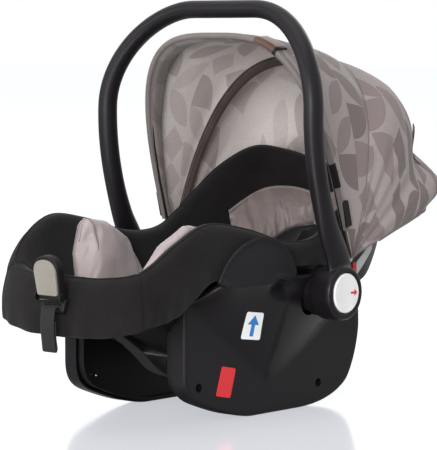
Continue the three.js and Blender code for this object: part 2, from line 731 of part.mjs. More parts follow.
const pivotBolt = turned(
  [
    [0, 141],
    [5.4, 142],
    [5.4, webOut + gap],
    [9.5, webOut + gap],
    [9.5, webOut + 3.4],
    [8, webOut + 4.6],
    [0, webOut + 4.6],
  ],
  hubY, hubZ, 20);
addPair("pivot_bolt", pivotBolt, steel);

// Release button: a cap with a skirt and three pins that reach through the web to the gear.
const buttonFace = hubOut + 0.8;
const buttonCap = turned(
  [
    [0, buttonFace - 3],
    [25, buttonFace - 3],
    [25, buttonFace - 13],
    [27.9, buttonFace - 13],
    [27.9, buttonFace - 1.6],
    [26.4, buttonFace - 0.2],
    [0, buttonFace],
  ],
  hubY, hubZ, 28);
const buttonPins = pinSpots.map(([y, z]) => drum(2.4, gearOut + gap, buttonFace - 2, y, z, 10));
addPair("hub_button", join(buttonCap, ...buttonPins), silicone);

// ---------------------------------------------------------------- canopy
// Radius and superellipse exponent of the arch at angles round the fan: a high front edge, a
// lower round middle bow and a fuller, squarer back.
const archShapes = [
  { angle: -17.5, radius: 333, power: 3.3 },
  { angle: 0, radius: 310, power: 3 },
  { angle: 19, radius: 304, power: 2.7 },
  { angle: 32, radius: 305, power: 3.7 },
  { angle: 45, radius: 299, power: 4.3 },
  { angle: 60, radius: 292, power: 4.6 },
  { angle: 71, radius: 284, power: 4.8 },
  { angle: 82, radius: 260, power: 4.8 },
];
function archShape(angle) {
  const at = Math.max(1, archShapes.findIndex((s) => s.angle >= angle));
  const [a, b] = [archShapes[at - 1], archShapes[at]];
  const share = (angle - a.angle) / (b.angle - a.angle);
  const mixed = (key) => THREE.MathUtils.lerp(a[key], b[key], share);
  return { radius: mixed("radius"), power: mixed("power") };
}

// Point of the canopy's outside: angle round the fan, turn from -90 to 90 degrees over the arch,
// drawn in by depth.
function canopyPoint(angle, turn, depth = 0) {
  const shape = archShape(angle);
  const power = 2 / shape.power;
  const across = Math.sign(turn) * Math.abs(Math.sin(rad(turn))) ** power;
  const up = Math.max(0, Math.cos(rad(turn))) ** power;
  const r = (shape.radius - depth) * up;
  return vec(
    (canopyHalfWidth - depth) * across, fanY + r * Math.sin(rad(angle)), fanZ + r * Math.cos(rad(angle)),
  );
}
const archTurns = Array.from({ length: 21 }, (_, i) => -90 + 9 * i);

function canopyPanel(startAt, endAt, steps) {
  const layer = (depth) =>
    Array.from({ length: steps + 1 }, (_, i) =>
      archTurns.map(
        (turn) => canopyPoint(THREE.MathUtils.lerp(startAt(turn), endAt(turn), i / steps), turn, depth)
      ),
    );
  return sheet(layer(0), layer(canopySheet));
}
const seamHalf = 0.12; // half of the gap between the two panels, in degrees
const hemAngle = (turn) => THREE.MathUtils.lerp(hemMiddleAngle, hemSideAngle, Math.abs(turn) / 90);
add(
  "canopy_front_panel", canopyPanel(() => frontBowAngle, () => middleBowAngle - seamHalf, 4), canopyFabric,
);
add("canopy_rear_panel", canopyPanel(() => middleBowAngle + seamHalf, hemAngle, 6), canopyFabric);

// Bows: flat strips inside the fabric, each ending in an eye on the canopy's pivot pin.
function canopyBow(angle, inset, eyeIn) {
  const eyeOut = eyeIn + bowThick;
  const eyeMid = (eyeIn + eyeOut) / 2;
  const arch = archTurns.slice(1, -1).map((turn) => canopyPoint(angle, turn, inset));
  const foot = (side) => vec(
    side * eyeMid, fanY + 4 * Math.sin(rad(angle)), fanZ + 4 * Math.cos(rad(angle)),
  );
  const path = [foot(-1), ...arch, foot(1)];
  const strip = swept(
    path,
    (i) => vec(path[i].x / 100, ((path[i].y - fanY) / 300) * 0.9, ((path[i].z - fanZ) / 300) * 0.9),
    () => roundedBar(bowBroad, bowThick),
  );
  const eye = drum(9, eyeIn, eyeOut, fanY, fanZ, 18);
  const bore = drum(3.4, 150, 180, fanY, fanZ, 14);
  const besideEye = [drum(14, 140, eyeIn, fanY, fanZ, 14), drum(14, eyeOut, 190, fanY, fanZ, 14)];
  const trimmed = cut(strip, ...besideEye, ...besideEye.map(mirrored));
  return cut(join(trimmed, eye, mirrored(eye)), bore, mirrored(bore));
}
add("canopy_front_bow", canopyBow(frontBowAngle + 1.6, 6.6, 167.4), darkPlastic);
add("canopy_middle_bow", canopyBow(middleBowAngle, 10.6, 164), darkPlastic);

// Bracket on the shell's skirt that carries the canopy's pivot pin.
const bracketShape = new THREE.Shape();
bracketShape.absarc(fanY, fanZ, 12, Math.PI, 2 * Math.PI);
bracketShape.lineTo(fanY + 9, fanZ + 15);
bracketShape.lineTo(fanY - 9, fanZ + 15);
const bracket = join(slab(bracketShape, 155 + 1.2, 160.4), drum(7, 160, 163.6, fanY, fanZ, 16));
addPair("canopy_bracket", cut(bracket, drum(3.4, 150, 180, fanY, fanZ, 14)), darkPlastic);
const pinHead = 170.7;
const canopyPin = turned(
  [
    [0, 156.4],
    [3, 156.4],
    [3, pinHead],
    [5.5, pinHead],
    [5.5, pinHead + 0.5],
    [4, pinHead + 1],
    [0, pinHead + 1],
  ],
  fanY, fanZ, 14);
addPair("canopy_pin", canopyPin, steel);

// Clips that hold the front bow's fabric near its ends.
function canopyClip() {
  const s = new THREE.Shape();
  const [w, r0, r1] = [6, 48, 86];
  s.moveTo(-w, r0);
  s.lineTo(w, r0);
  s.lineTo(w, r1 - 4);
  s.quadraticCurveTo(w, r1, w - 4, r1);
  s.lineTo(4 - w, r1);
  s.quadraticCurveTo(-w, r1, -w, r1 - 4);
  const g = slab(s, canopyHalfWidth + gap, canopyHalfWidth + 3.5);
  return g.rotateX(rad(-frontBowAngle - 3)).translate(0, fanY, fanZ);
}
addPair("canopy_clip", canopyClip(), darkPlastic);

// Leather tabs sewn on the fabric, from one turn of the arch to another.
function canopyTab(angleFrom, angleTo, turnFrom, turnTo) {
  const steps = 4;
  const along = Array.from({ length: steps + 1 }, (_, i) => i / steps);
  const layer = (depth) =>
    along.map((a) =>
      along.map((t) =>
        canopyPoint(
          THREE.MathUtils.lerp(angleFrom, angleTo, a), THREE.MathUtils.lerp(turnFrom, turnTo, t), depth,
        )));
  return sheet(layer(-3.2), layer(-1.6));
}
add("canopy_front_tab", canopyTab(-15.5, -12.8, 16, 27), leather);
add("canopy_rear_tab", canopyTab(48, 62, 31.5, 35.5), leather);

// ---------------------------------------------------------------- harness
// Place on the bucket's middle line, raised square to it.
function onFloor(x, y, lift) {
  const lean = seatLean(y);
  return vec(x, y - lift * Math.sin(lean), floorHeight(y) + lift * Math.cos(lean));
}
const padTop = padBase + insertThick;
const strapOut = (i, along) => vec(1, 0, 0).cross(along);
function strapPath(points, steps) {
  return new THREE.CatmullRomCurve3(points, false, "centripetal").getSpacedPoints(steps);
}
const flatBand = (width, thick) => [[-1, -1], [1, -1], [1, 1], [-1, 1]].map(
  ([a, o]) => [(a * width) / 2, (o * thick) / 2]
);
const strap = (path, width, thick) => swept(path, strapOut, () => flatBand(width, thick));

// Buckle frame: u across, v along the buckle towards the chest, n out of its face.
const buckleLean = rad(32);
const bucklePlace = vec(0, -17, floorHeight(-17) + padTop + 31);
const onBuckle = (g) => finished(g).rotateX(buckleLean).translate(0, bucklePlace.y, bucklePlace.z);
const inBuckle = (u, v, n) => vec(u, v, n).applyAxisAngle(vec(1, 0, 0), buckleLean).add(bucklePlace);
const tongueX = 18;
const buckleBody = cut(
  plate(roundedRect(58, 56, 9), 16),
  plate(roundedRect(26, 20, 3), 16).translate(0, -8, 4),
  block(20.6, 30, 3.6, tongueX - 6, 16, 8),
  block(20.6, 30, 3.6, 6 - tongueX, 16, 8),
  block(27, 20, 3.6, 0, -25, 8),
);
add("buckle", onBuckle(buckleBody), darkPlastic);
add("buckle_button", onBuckle(plate(roundedRect(25.2, 19.2, 2.6), 8.6).translate(0, -8, 8.6)), redPlastic);
function tongue() {
  const s = new THREE.Shape();
  s.moveTo(-10 - 6, 6);
  s.lineTo(10 - 6, 6);
  s.lineTo(10 - 6, 30);
  s.lineTo(16, 34);
  s.lineTo(16, 52);
  s.lineTo(-16, 52);
  s.lineTo(-16, 34);
  s.lineTo(-10 - 6, 30);
  s.closePath();
  const slot = new THREE.Path();
  slot.moveTo(-13.6, 40);
  slot.lineTo(13.6, 40);
  slot.lineTo(13.6, 46);
  slot.lineTo(-13.6, 46);
  slot.closePath();
  s.holes.push(slot);
  return plate(s, 2.4).translate(tongueX, 0, 6.8);
}
add("buckle_tongue_left", onBuckle(tongue()), steel);
add("buckle_tongue_right", onBuckle(mirrored(tongue())), steel);

// Crotch strap: a steel anchor under the floor, up through the slot and into the buckle.
const anchorDrop = wall + gap + 2.6;
const crotchStrap = strapPath(
  [
    onFloor(0, crotchY, -anchorDrop - 8),
    onFloor(0, crotchY, -2),
    onFloor(0, crotchY, padTop - 6),
    onFloor(0, crotchY, padTop + 4),
    inBuckle(0, -37, 7.8),
    inBuckle(0, -30, 8),
    inBuckle(0, -18, 8),
  ],
  16);
const strapRoll = drum(3.2, -12.5, 12.5, 0, 0, 10);
const rollPlace = onFloor(0, crotchY, -anchorDrop - 9);
add(
  "crotch_strap",
  join(strap(crotchStrap, 25, 1.6), strapRoll.translate(0, rollPlace.y, rollPlace.z)),
  webbing,
);
const anchor = cut(block(48, 20, 2.6), block(28, 4, 8));
const anchorPlace = onFloor(0, crotchY, -wall - gap - 1.4);
add(
  "crotch_anchor",
  finished(anchor).rotateX(seatLean(crotchY)).translate(0, anchorPlace.y, anchorPlace.z),
  steel,
);

// Shoulder straps: from the yoke under the seat, up behind the back, through the slot and down
// to the buckle's tongue.
const yokeY = 40;
const shoulderPath = strapPath(
  [
    onFloor(tongueX - 2, yokeY + 7, -20),
    onFloor(tongueX - 2, yokeY + 7, -10),
    onFloor(18, yokeY + 18, -8),
    onFloor(21, yokeY + 36, -9),
    onFloor(26, 100, -12),
    onFloor(34, 150, -13),
    onFloor(strapX, slotY - 20, -17),
    onFloor(strapX, slotY - 5, -18),
    onFloor(strapX, slotY, -12),
    onFloor(strapX, slotY, -2),
    onFloor(strapX, slotY, 8),
    onFloor(strapX, slotY, padTop - 1),
    onFloor(strapX, slotY - 4, padTop + 5),
    onFloor(strapX, slotY - 20, padTop + 7),
    onFloor(36, 150, padTop + 5),
    onFloor(31, 90, padTop + 6),
    onFloor(25, 30, padTop + 16),
    inBuckle(tongueX, 64, 13),
    inBuckle(tongueX, 49, 12),
    inBuckle(tongueX, 43.5, 9.5),
    inBuckle(tongueX, 43, 6),
    inBuckle(tongueX, 43, 0),
  ],
  60);
addPair("shoulder_strap", strap(shoulderPath, 25, 1.6), webbing);

// Padded sleeves on the shoulder straps.
const aboveSeat = (low, high) => (p) => p.y > low && p.y < high && p.z > floorHeight(p.y) + padTop;
const sleevePath = shoulderPath.filter(aboveSeat(92, 172));
const sleeveBore = shoulderPath.filter(aboveSeat(84, 180));
addPair("shoulder_pad", cut(strap(sleevePath, 46, 9), strap(sleeveBore, 27, 3.4)), blackFabric);

// Yoke that joins both shoulder straps to the adjuster strap.
const yokePlace = onFloor(0, yokeY, -15);
const yoke = plate(roundedRect(70, 30, 5), 2.4).translate(0, 0, -1.2);
const yokeSlots = [block(62, 4.6, 8, 0, 7, 0), block(27, 4.6, 8, 0, -7, 0)];
const yokeSolid = cut(yoke, ...yokeSlots).rotateX(seatLean(yokeY)).translate(0, yokePlace.y, yokePlace.z);
add("strap_yoke", yokeSolid, steel);

// ---------------------------------------------------------------- front adjuster
function paddleShape(low, high, height) {
  const s = new THREE.Shape();
  s.moveTo(3 - low, -7);
  s.lineTo(low - 3, -7);
  s.quadraticCurveTo(low, -7, low, -4);
  s.lineTo(high, height - 16);
  s.bezierCurveTo(high, height - 5, high * 0.5, height, 0, height);
  s.bezierCurveTo(-high * 0.5, height, -high, height - 5, -high, height - 16);
  s.lineTo(-low, -4);
  s.quadraticCurveTo(-low, -7, 3 - low, -7);
  return s;
}
const leverBarrel = drum(3.2, -19, 19, 0, 2.5, 12);
const leverBore = drum(1.9, -30, 30, 0, 2.5, 10);
add(
  "adjuster_lever",
  onAdjuster(cut(join(plate(paddleShape(21.2, 22, 56), 5), leverBarrel), leverBore)),
  greyPlastic,
);
add("adjuster_pin", onAdjuster(drum(1.6, -24, 24, 0, 2.5, 10)), steel);

// Housing: a base behind the lever, two cheeks that hold its pin, and a neck that carries the
// strap in through the cover and the skirt.
const housing = cut(
  join(
    plate(roundedRect(50, 21, 5), 3).translate(0, -7.5, -4),
    block(30, 10, 26, 0, neckV, -16),
    block(3, 16, 11, 23.2, -3, 2.5),
    block(3, 16, 11, -23.2, -3, 2.5),
  ),
  block(27, 3.6, 50, 0, neckV, -10),
  drum(1.9, -30, 30, 0, 2.5, 10),
);
add("adjuster_housing", onAdjuster(housing), darkPlastic);

const adjusterStrap = strapPath(
  [
    onFloor(0, yokeY - 7, -9),
    onFloor(0, yokeY - 7.4, -19),
    onFloor(0, yokeY - 22, -21),
    onFloor(0, -20, -22),
    onFloor(0, crotchY, -26),
    onFloor(0, -110, -15),
    onFloor(0, -160, -12),
    vec(0, -205, 132),
    vec(0, -238, 150),
    inAdjuster(0, neckV, -30),
    inAdjuster(0, neckV, -16),
    inAdjuster(0, neckV, -1),
    inAdjuster(0, neckV - 3, 5),
    vec(0, adjusterPlace.y - 10, 152),
    vec(0, adjusterPlace.y - 8, 114),
  ],
  40);
const pullEnd = block(26, 4, 13, 0, adjusterPlace.y - 8, 114);
add("adjuster_strap", join(strap(adjusterStrap, 25, 1.6), pullEnd), webbing);

export default carSeat;
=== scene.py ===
"""Infant car seat dressed for display: moulded plastics, knit cover, padding, canopy and webbing.
Metres in the solids' own frame: +X is the child's left, +Y the head end, +Z up."""

import math

import bmesh
import bpy
import numpy as np
from mathutils import Matrix, Vector, geometry, noise
from mathutils.bvhtree import BVHTree


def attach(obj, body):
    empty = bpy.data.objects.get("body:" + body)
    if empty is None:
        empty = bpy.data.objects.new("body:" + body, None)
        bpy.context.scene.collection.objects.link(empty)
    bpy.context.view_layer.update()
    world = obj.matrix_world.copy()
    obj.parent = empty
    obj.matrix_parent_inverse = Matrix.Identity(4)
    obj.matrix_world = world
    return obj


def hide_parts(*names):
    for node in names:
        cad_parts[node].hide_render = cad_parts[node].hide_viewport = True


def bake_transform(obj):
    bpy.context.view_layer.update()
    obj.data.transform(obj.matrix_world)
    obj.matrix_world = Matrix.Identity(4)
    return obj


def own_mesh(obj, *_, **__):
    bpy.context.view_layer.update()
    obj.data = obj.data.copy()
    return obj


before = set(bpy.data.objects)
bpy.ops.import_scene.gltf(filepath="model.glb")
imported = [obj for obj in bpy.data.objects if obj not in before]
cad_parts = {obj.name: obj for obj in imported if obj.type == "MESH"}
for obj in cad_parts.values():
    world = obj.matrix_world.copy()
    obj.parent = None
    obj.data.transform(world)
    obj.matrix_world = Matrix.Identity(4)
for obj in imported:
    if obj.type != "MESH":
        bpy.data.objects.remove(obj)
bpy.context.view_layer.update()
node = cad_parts

both_sides = ((1, "left"), (-1, "right"))


def in_scene(name, data):
    """A new object of the scene that shows this mesh, lamp or camera."""
    made = bpy.data.objects.new(name, data)
    bpy.context.scene.collection.objects.link(made)
    return made


# ---- Studio ----
# A pale glossy table top in an all-white room, with a broad soft light overhead, a strong one low
# in front and weaker ones beside it and behind. The view is from the foot end, to the child's left,
# just above the seat.
view_turn = math.radians(41)
view_drop = math.radians(4.41)
view_way = Vector(
    (
        -math.sin(view_turn) * math.cos(view_drop),
        math.cos(view_turn) * math.cos(view_drop),
        -math.sin(view_drop),
    )
)
camera_data = bpy.data.cameras.new("camera")
camera_data.sensor_fit = "HORIZONTAL"
camera_data.sensor_width = 36
camera_data.lens = 201.8
camera = in_scene("camera", camera_data)
camera.location = (2.306, -2.659, 0.530)
camera.rotation_euler = view_way.to_track_quat("-Z", "Y").to_euler()
bpy.context.scene.camera = camera
bpy.context.scene.view_settings.view_transform = "Standard"


def soft_light(name, place, aim, width, height, power):
    lamp = bpy.data.lights.new(name, "AREA")
    lamp.shape = "RECTANGLE"
    lamp.size = width
    lamp.size_y = height
    lamp.energy = power
    lit = in_scene(name, lamp)
    lit.location = place
    lit.rotation_euler = (Vector(aim) - Vector(place)).to_track_quat("-Z", "Y").to_euler()


soft_light("overhead", (0.2, -0.4, 2.6), (0, 0, 0.2), 2.2, 2.2, 22)
soft_light("front_left", (-1.2, -2.7, 1.3), (0, 0, 0.3), 1.6, 1.6, 26)
soft_light("front_right", (1.5, -2.9, 0.95), (0, 0.1, 0.4), 1.6, 1.2, 108)
soft_light("behind", (-0.6, 2.6, 1.5), (0, 0, 0.3), 1.6, 1.2, 16)


def add_node(tree, kind, **settings):
    made = tree.nodes.new(kind)
    for name, value in settings.items():
        if name in made.inputs:
            made.inputs[name].default_value = value
        else:
            setattr(made, name, value)
    return made


def link(tree, source, target):
    tree.links.new(source, target)


world = bpy.data.worlds.new("white_room")
bpy.context.scene.world = world
world.use_nodes = True
room = world.node_tree
room.nodes.clear()
seen = add_node(room, "ShaderNodeLightPath")
either = add_node(room, "ShaderNodeMath", operation="MAXIMUM")
any_seen = add_node(room, "ShaderNodeMath", operation="MAXIMUM")
link(room, seen.outputs["Is Camera Ray"], either.inputs[0])
link(room, seen.outputs["Is Transmission Ray"], either.inputs[1])
link(room, either.outputs[0], any_seen.inputs[0])
link(room, seen.outputs["Is Glossy Ray"], any_seen.inputs[1])
glow = add_node(room, "ShaderNodeBackground", Color=(1, 1, 1, 1), Strength=1.0)
fill = add_node(room, "ShaderNodeBackground", Color=(0.98, 0.99, 1, 1), Strength=0.5)
choose = add_node(room, "ShaderNodeMixShader")
sky = add_node(room, "ShaderNodeOutputWorld")
link(room, any_seen.outputs[0], choose.inputs[0])
link(room, fill.outputs[0], choose.inputs[1])
link(room, glow.outputs[0], choose.inputs[2])
link(room, choose.outputs[0], sky.inputs[0])

table_mesh = bpy.data.meshes.new("table_top")
table_corners = [(-30, -30, -0.0004), (30, -30, -0.0004), (30, 30, -0.0004), (-30, 30, -0.0004)]
table_mesh.from_pydata(table_corners, [], [(0, 1, 2, 3)])
table_top = in_scene("table_top", table_mesh)
gloss_top = bpy.data.materials.new("pale_gloss_table")
gloss_top.use_nodes = True
top = gloss_top.node_tree
top.nodes.clear()
matt = add_node(top, "ShaderNodeBsdfDiffuse", Color=(0.3, 0.3, 0.3, 1))
mirror = add_node(top, "ShaderNodeBsdfGlossy", Color=(1, 1, 0.97, 1), Roughness=0.13)
sheen_mix = add_node(top, "ShaderNodeMixShader", Fac=0.42)
white_glow = add_node(top, "ShaderNodeEmission", Color=(0.9, 0.925, 1, 1))
top_seen = add_node(top, "ShaderNodeLightPath")
top_strength = add_node(top, "ShaderNodeMath", operation="MULTIPLY")
top_strength.inputs[1].default_value = 0.55
top_add = add_node(top, "ShaderNodeAddShader")
top_out = add_node(top, "ShaderNodeOutputMaterial")
link(top, matt.outputs[0], sheen_mix.inputs[1])
link(top, mirror.outputs[0], sheen_mix.inputs[2])
link(top, top_seen.outputs["Is Camera Ray"], top_strength.inputs[0])
link(top, top_strength.outputs[0], white_glow.inputs["Strength"])
link(top, sheen_mix.outputs[0], top_add.inputs[0])
link(top, white_glow.outputs[0], top_add.inputs[1])
link(top, top_add.outputs[0], top_out.inputs[0])
table_mesh.materials.append(gloss_top)

# ---- Moulded plastic ----
# Polypropylene mouldings with a fine spark-eroded grain: charcoal outside, a blacker grade for
# hidden frames. Handling leaves the grain slightly polished in broad patches.


def new_finish(name, roughness, gloss, sheen=0.0):
    """A finish's material, its node tree and its shader."""
    material = bpy.data.materials.new(name)
    material.use_nodes = True
    shader = material.node_tree.nodes["Principled BSDF"]
    shader.inputs["Roughness"].default_value = roughness
    shader.inputs["Specular IOR Level"].default_value = gloss
    shader.inputs["Sheen Weight"].default_value = sheen
    return material, material.node_tree, shader


def texture(tree, place, kind, **settings):
    made = add_node(tree, "ShaderNodeTex" + kind, **settings)
    link(tree, place, made.inputs["Vector"])
    return made


def two_tones(tree, factor, shader, dark, light, low=0.0, high=1.0):
    """The shader's colour runs from dark to light as factor goes from low to high."""
    ramp = add_node(tree, "ShaderNodeValToRGB")
    for stop, place, colour in zip(ramp.color_ramp.elements, (low, high), (dark, light)):
        stop.position = place
        stop.color = (*colour, 1)
    link(tree, factor, ramp.inputs["Fac"])
    link(tree, ramp.outputs["Color"], shader.inputs["Base Color"])


def fine_relief(tree, height, shader, strength, distance):
    relief = add_node(tree, "ShaderNodeBump", Strength=strength, Distance=distance)
    link(tree, height, relief.inputs["Height"])
    link(tree, relief.outputs["Normal"], shader.inputs["Normal"])
    return relief


def mixed_noise(tree, first, second, share):
    """first times share, plus second times the rest."""
    rest = add_node(tree, "ShaderNodeMath", operation="MULTIPLY")
    rest.inputs[1].default_value = 1 - share
    link(tree, second, rest.inputs[0])
    both = add_node(tree, "ShaderNodeMath", operation="MULTIPLY_ADD")
    both.inputs[1].default_value = share
    link(tree, first, both.inputs[0])
    link(tree, rest.outputs[0], both.inputs[2])
    return both.outputs[0]


def moulded_plastic(name, colour, roughness, grain=900, depth=0.00012, spread=0.07):
    material, tree, shader = new_finish(name, roughness, 0.19)
    where = add_node(tree, "ShaderNodeTexCoord").outputs["Object"]
    fine = texture(tree, where, "Noise", Scale=grain, Detail=2, Roughness=0.6)
    broad = texture(tree, where, "Noise", Scale=9, Detail=3, Roughness=0.55)
    darker = [c * 0.86 for c in colour]
    lighter = [min(1, c * 1.16) for c in colour]
    two_tones(tree, broad.outputs["Fac"], shader, darker, lighter, 0.3, 0.75)
    polish = add_node(tree, "ShaderNodeMapRange")
    polish.inputs["From Min"].default_value = 0.3
    polish.inputs["From Max"].default_value = 0.7
    polish.inputs["To Min"].default_value = roughness - spread
    polish.inputs["To Max"].default_value = roughness + spread
    link(tree, broad.outputs["Fac"], polish.inputs["Value"])
    link(tree, polish.outputs["Result"], shader.inputs["Roughness"])
    fine_relief(tree, fine.outputs["Fac"], shader, 0.5, depth)
    return material


charcoal_plastic = moulded_plastic("charcoal_moulding", (0.0068, 0.0056, 0.0074), 0.42)
black_plastic = moulded_plastic("black_moulding", (0.0045, 0.004, 0.0048), 0.5)


def one_material(piece, material):
    piece.data.materials.clear()
    piece.data.materials.append(material)
    piece.data.polygons.foreach_set("material_index", [0] * len(piece.data.polygons))


def dress(name, material):
    """A rigid solid that is shown as it is, with its finish."""
    one_material(node[name], material)


for _, hand in both_sides:
    for name in ("rocker_wall_", "handle_socket_", "canopy_bracket_"):
        dress(name + hand, black_plastic)

# ---- Seat shell ----
# One deep moulded bucket under the fabric: a rolled rim, a turned-down skirt, and a boss each side
# that carries the handle's hub. Its rim is drawn as stations from the foot end to the head end.
origin_y = 66.85
rim_keys = ("x", "y", "z", "roll", "bulge", "tuck", "skirt", "hem")
rim_stations = [
    (0, -256, 201, 14, 8, 10, 46, 72),
    (72, -253, 202, 14, 8, 10, 46, 70),
    (125, -234, 212, 13, 9, 8, 46, 66),
    (146, -188, 248, 10, 5, 6, 50, 86),
    (151, -135, 271, 9, 2, 3, 55, 72),
    (154, -60, 262, 8, 0, 0, 50, 54),
    (155, 30, 239, 8, 0, 0, 30, 27),
    (155, 100, 242, 8, 0, 0, 33, 27),
    (155, 170, 284, 8, 0, 3, 110, 34),
    (149, 235, 328, 8, 0, 5, 140, 34),
    (126, 290, 355, 9, 0, 6, 108, 34),
    (88, 318, 350, 9, 0, 6, 74, 30),
    (0, 334, 326, 9, 0, 6, 46, 28),
]
spine_foot, spine_head = -182, 252
shell_wall = 3
cover_gap, cover_thick = 0.8, 5
skirt_top, crest_top = -0.3, 0.15
skirt_span, crest_span, wall_span = 0.7, 0.45, 0.85
bowl_round = 2 / 2.3


def placed(points):
    """Working millimetres from the rockers' datum, as metres in the solids' frame."""
    return (np.asarray(points, float) - (0, origin_y, 0)) * 0.001


def flowing(knots, shares):
    """Smooth curve through knots, read at shares from 0 to 1 of the way along."""
    knots = np.asarray(knots, float)
    ends = [2 * knots[0] - knots[1], *knots, 2 * knots[-1] - knots[-2]]
    found = []
    for share in np.atleast_1d(shares):
        at = share * (len(knots) - 1)
        first = min(int(at), len(knots) - 2)
        u = at - first
        a, b, c, d = ends[first : first + 4]
        gaps = [max(1e-6, ((q - p) @ (q - p)) ** 0.25) for p, q in ((a, b), (b, c), (c, d))]
        out = ((b - a) / gaps[0] - (c - a) / (gaps[0] + gaps[1]) + (c - b) / gaps[1]) * gaps[1]
        into = ((c - b) / gaps[1] - (d - b) / (gaps[1] + gaps[2]) + (d - c) / gaps[2]) * gaps[1]
        square = -3 * b + 3 * c - 2 * out - into
        cube = 2 * b - 2 * c + out + into
        found.append(b + out * u + square * u**2 + cube * u**3)
    return np.array(found)


def run_along(line):
    """Distance along a line of points, from 0 at the first one."""
    return np.r_[0, np.cumsum(np.linalg.norm(np.diff(line, axis=0), axis=1))]


def unit(rows):
    return rows / np.linalg.norm(rows, axis=1, keepdims=True)


floor_low, leg_slope, back_slope, floor_round = 50, 0.55, 0.95, 1600


def floor_height(y):
    """Middle of the floor: low under the hips, up to the legs at one end and up the back at the other."""
    legs, back = -12 - y, y - 62
    climbs = (leg_slope, legs), (back_slope, back)
    up_legs, up_back = (slope * (way + np.sqrt(way**2 + floor_round)) / 2 for slope, way in climbs)
    return floor_low + up_legs + up_back


class Section:
    """Vertical section of the bucket at t along the half rim: at(w, lift) walks it from the lower
    edge (w -1) over the crest (0) down to the middle of the floor (1), raised by lift."""

    def __init__(self, t, side, edge="skirt"):
        station = dict(zip(rim_keys, np.concatenate([flow[t] for flow in (rim_flow, crest_flow, edge_flow)])))
        self.side = side
        self.rim = np.array([station["x"], station["y"], station["z"]])
        self.roll, self.bulge, self.tuck = station["roll"], station["bulge"], station["tuck"]
        self.drop = station[edge] - self.roll
        spine_y = np.interp(self.rim[1], (rim_stations[0][1], rim_stations[-1][1]), (spine_foot, spine_head))
        way = np.array([-self.rim[0], spine_y - self.rim[1]])
        self.reach = np.linalg.norm(way)
        self.way = way / self.reach
        self.lowest = floor_height(spine_y)

    def place(self, w):
        down = self.drop * (skirt_top - w) / skirt_span
        skirt = (
            self.tuck * (down / 90) ** 2 - self.bulge * np.sin(np.pi * np.clip(down / 90, 0, 1)),
            self.rim[2] - self.roll - down,
        )
        over = np.pi * (1 - (w - skirt_top) / crest_span)
        crest = (self.roll + self.roll * np.cos(over), self.rim[2] - self.roll + self.roll * np.sin(over))
        turn = np.clip((w - crest_top) / wall_span, 0, 1) * np.pi / 2
        wall = (
            2 * self.roll + (self.reach - 2 * self.roll) * (1 - np.clip(np.cos(turn), 0, 1) ** bowl_round),
            self.rim[2] - self.roll + (self.lowest - self.rim[2] + self.roll) * np.sin(turn) ** bowl_round,
        )
        inner = [np.where(w < crest_top, c, l) for c, l in zip(crest, wall)]
        return [np.where(w < skirt_top, s, rest) for s, rest in zip(skirt, inner)]

    def at(self, w, lift=0):
        w = np.atleast_1d(np.asarray(w, float))
        a, z = self.place(w)
        a0, z0 = self.place(np.maximum(w - 0.004, -1))
        a1, z1 = self.place(np.minimum(w + 0.004, 1))
        a1 = np.where(w > 0.99, a0 + 1, a1)
        z1 = np.where(w > 0.99, z0, z1)
        length = np.hypot(a1 - a0, z1 - z0)
        inward = a - lift * (z1 - z0) / length
        x = np.where(w >= 1, 0, self.side * (self.rim[0] + self.way[0] * inward))
        return np.stack([x, self.rim[1] + self.way[1] * inward, z + lift * (a1 - a0) / length], -1)


class Flow(dict):
    """One group of the rim's values as a smooth curve, worked out once for each place asked for."""

    def __init__(self, columns, kept):
        super().__init__()
        self.knots = [[row[c] for c in columns] for row in rim_stations]
        self.kept = kept

    def __missing__(self, t):
        self[t] = flowing(self.knots, t)[0][: self.kept]
        return self[t]


rim_flow = Flow((0, 1, 2), 3)
crest_flow = Flow((3, 4, 5), 3)
edge_flow = Flow((6, 7, 3), 2)


def around(half):
    """Places round the whole rim: up the left side from foot to head and down the right one."""
    left = [(i / half, 1) for i in range(half + 1)]
    return left + [(1 - (i + 1) / half, -1) for i in range(half)]


def smooth(mesh):
    mesh.polygons.foreach_set("use_smooth", [True] * len(mesh.polygons))


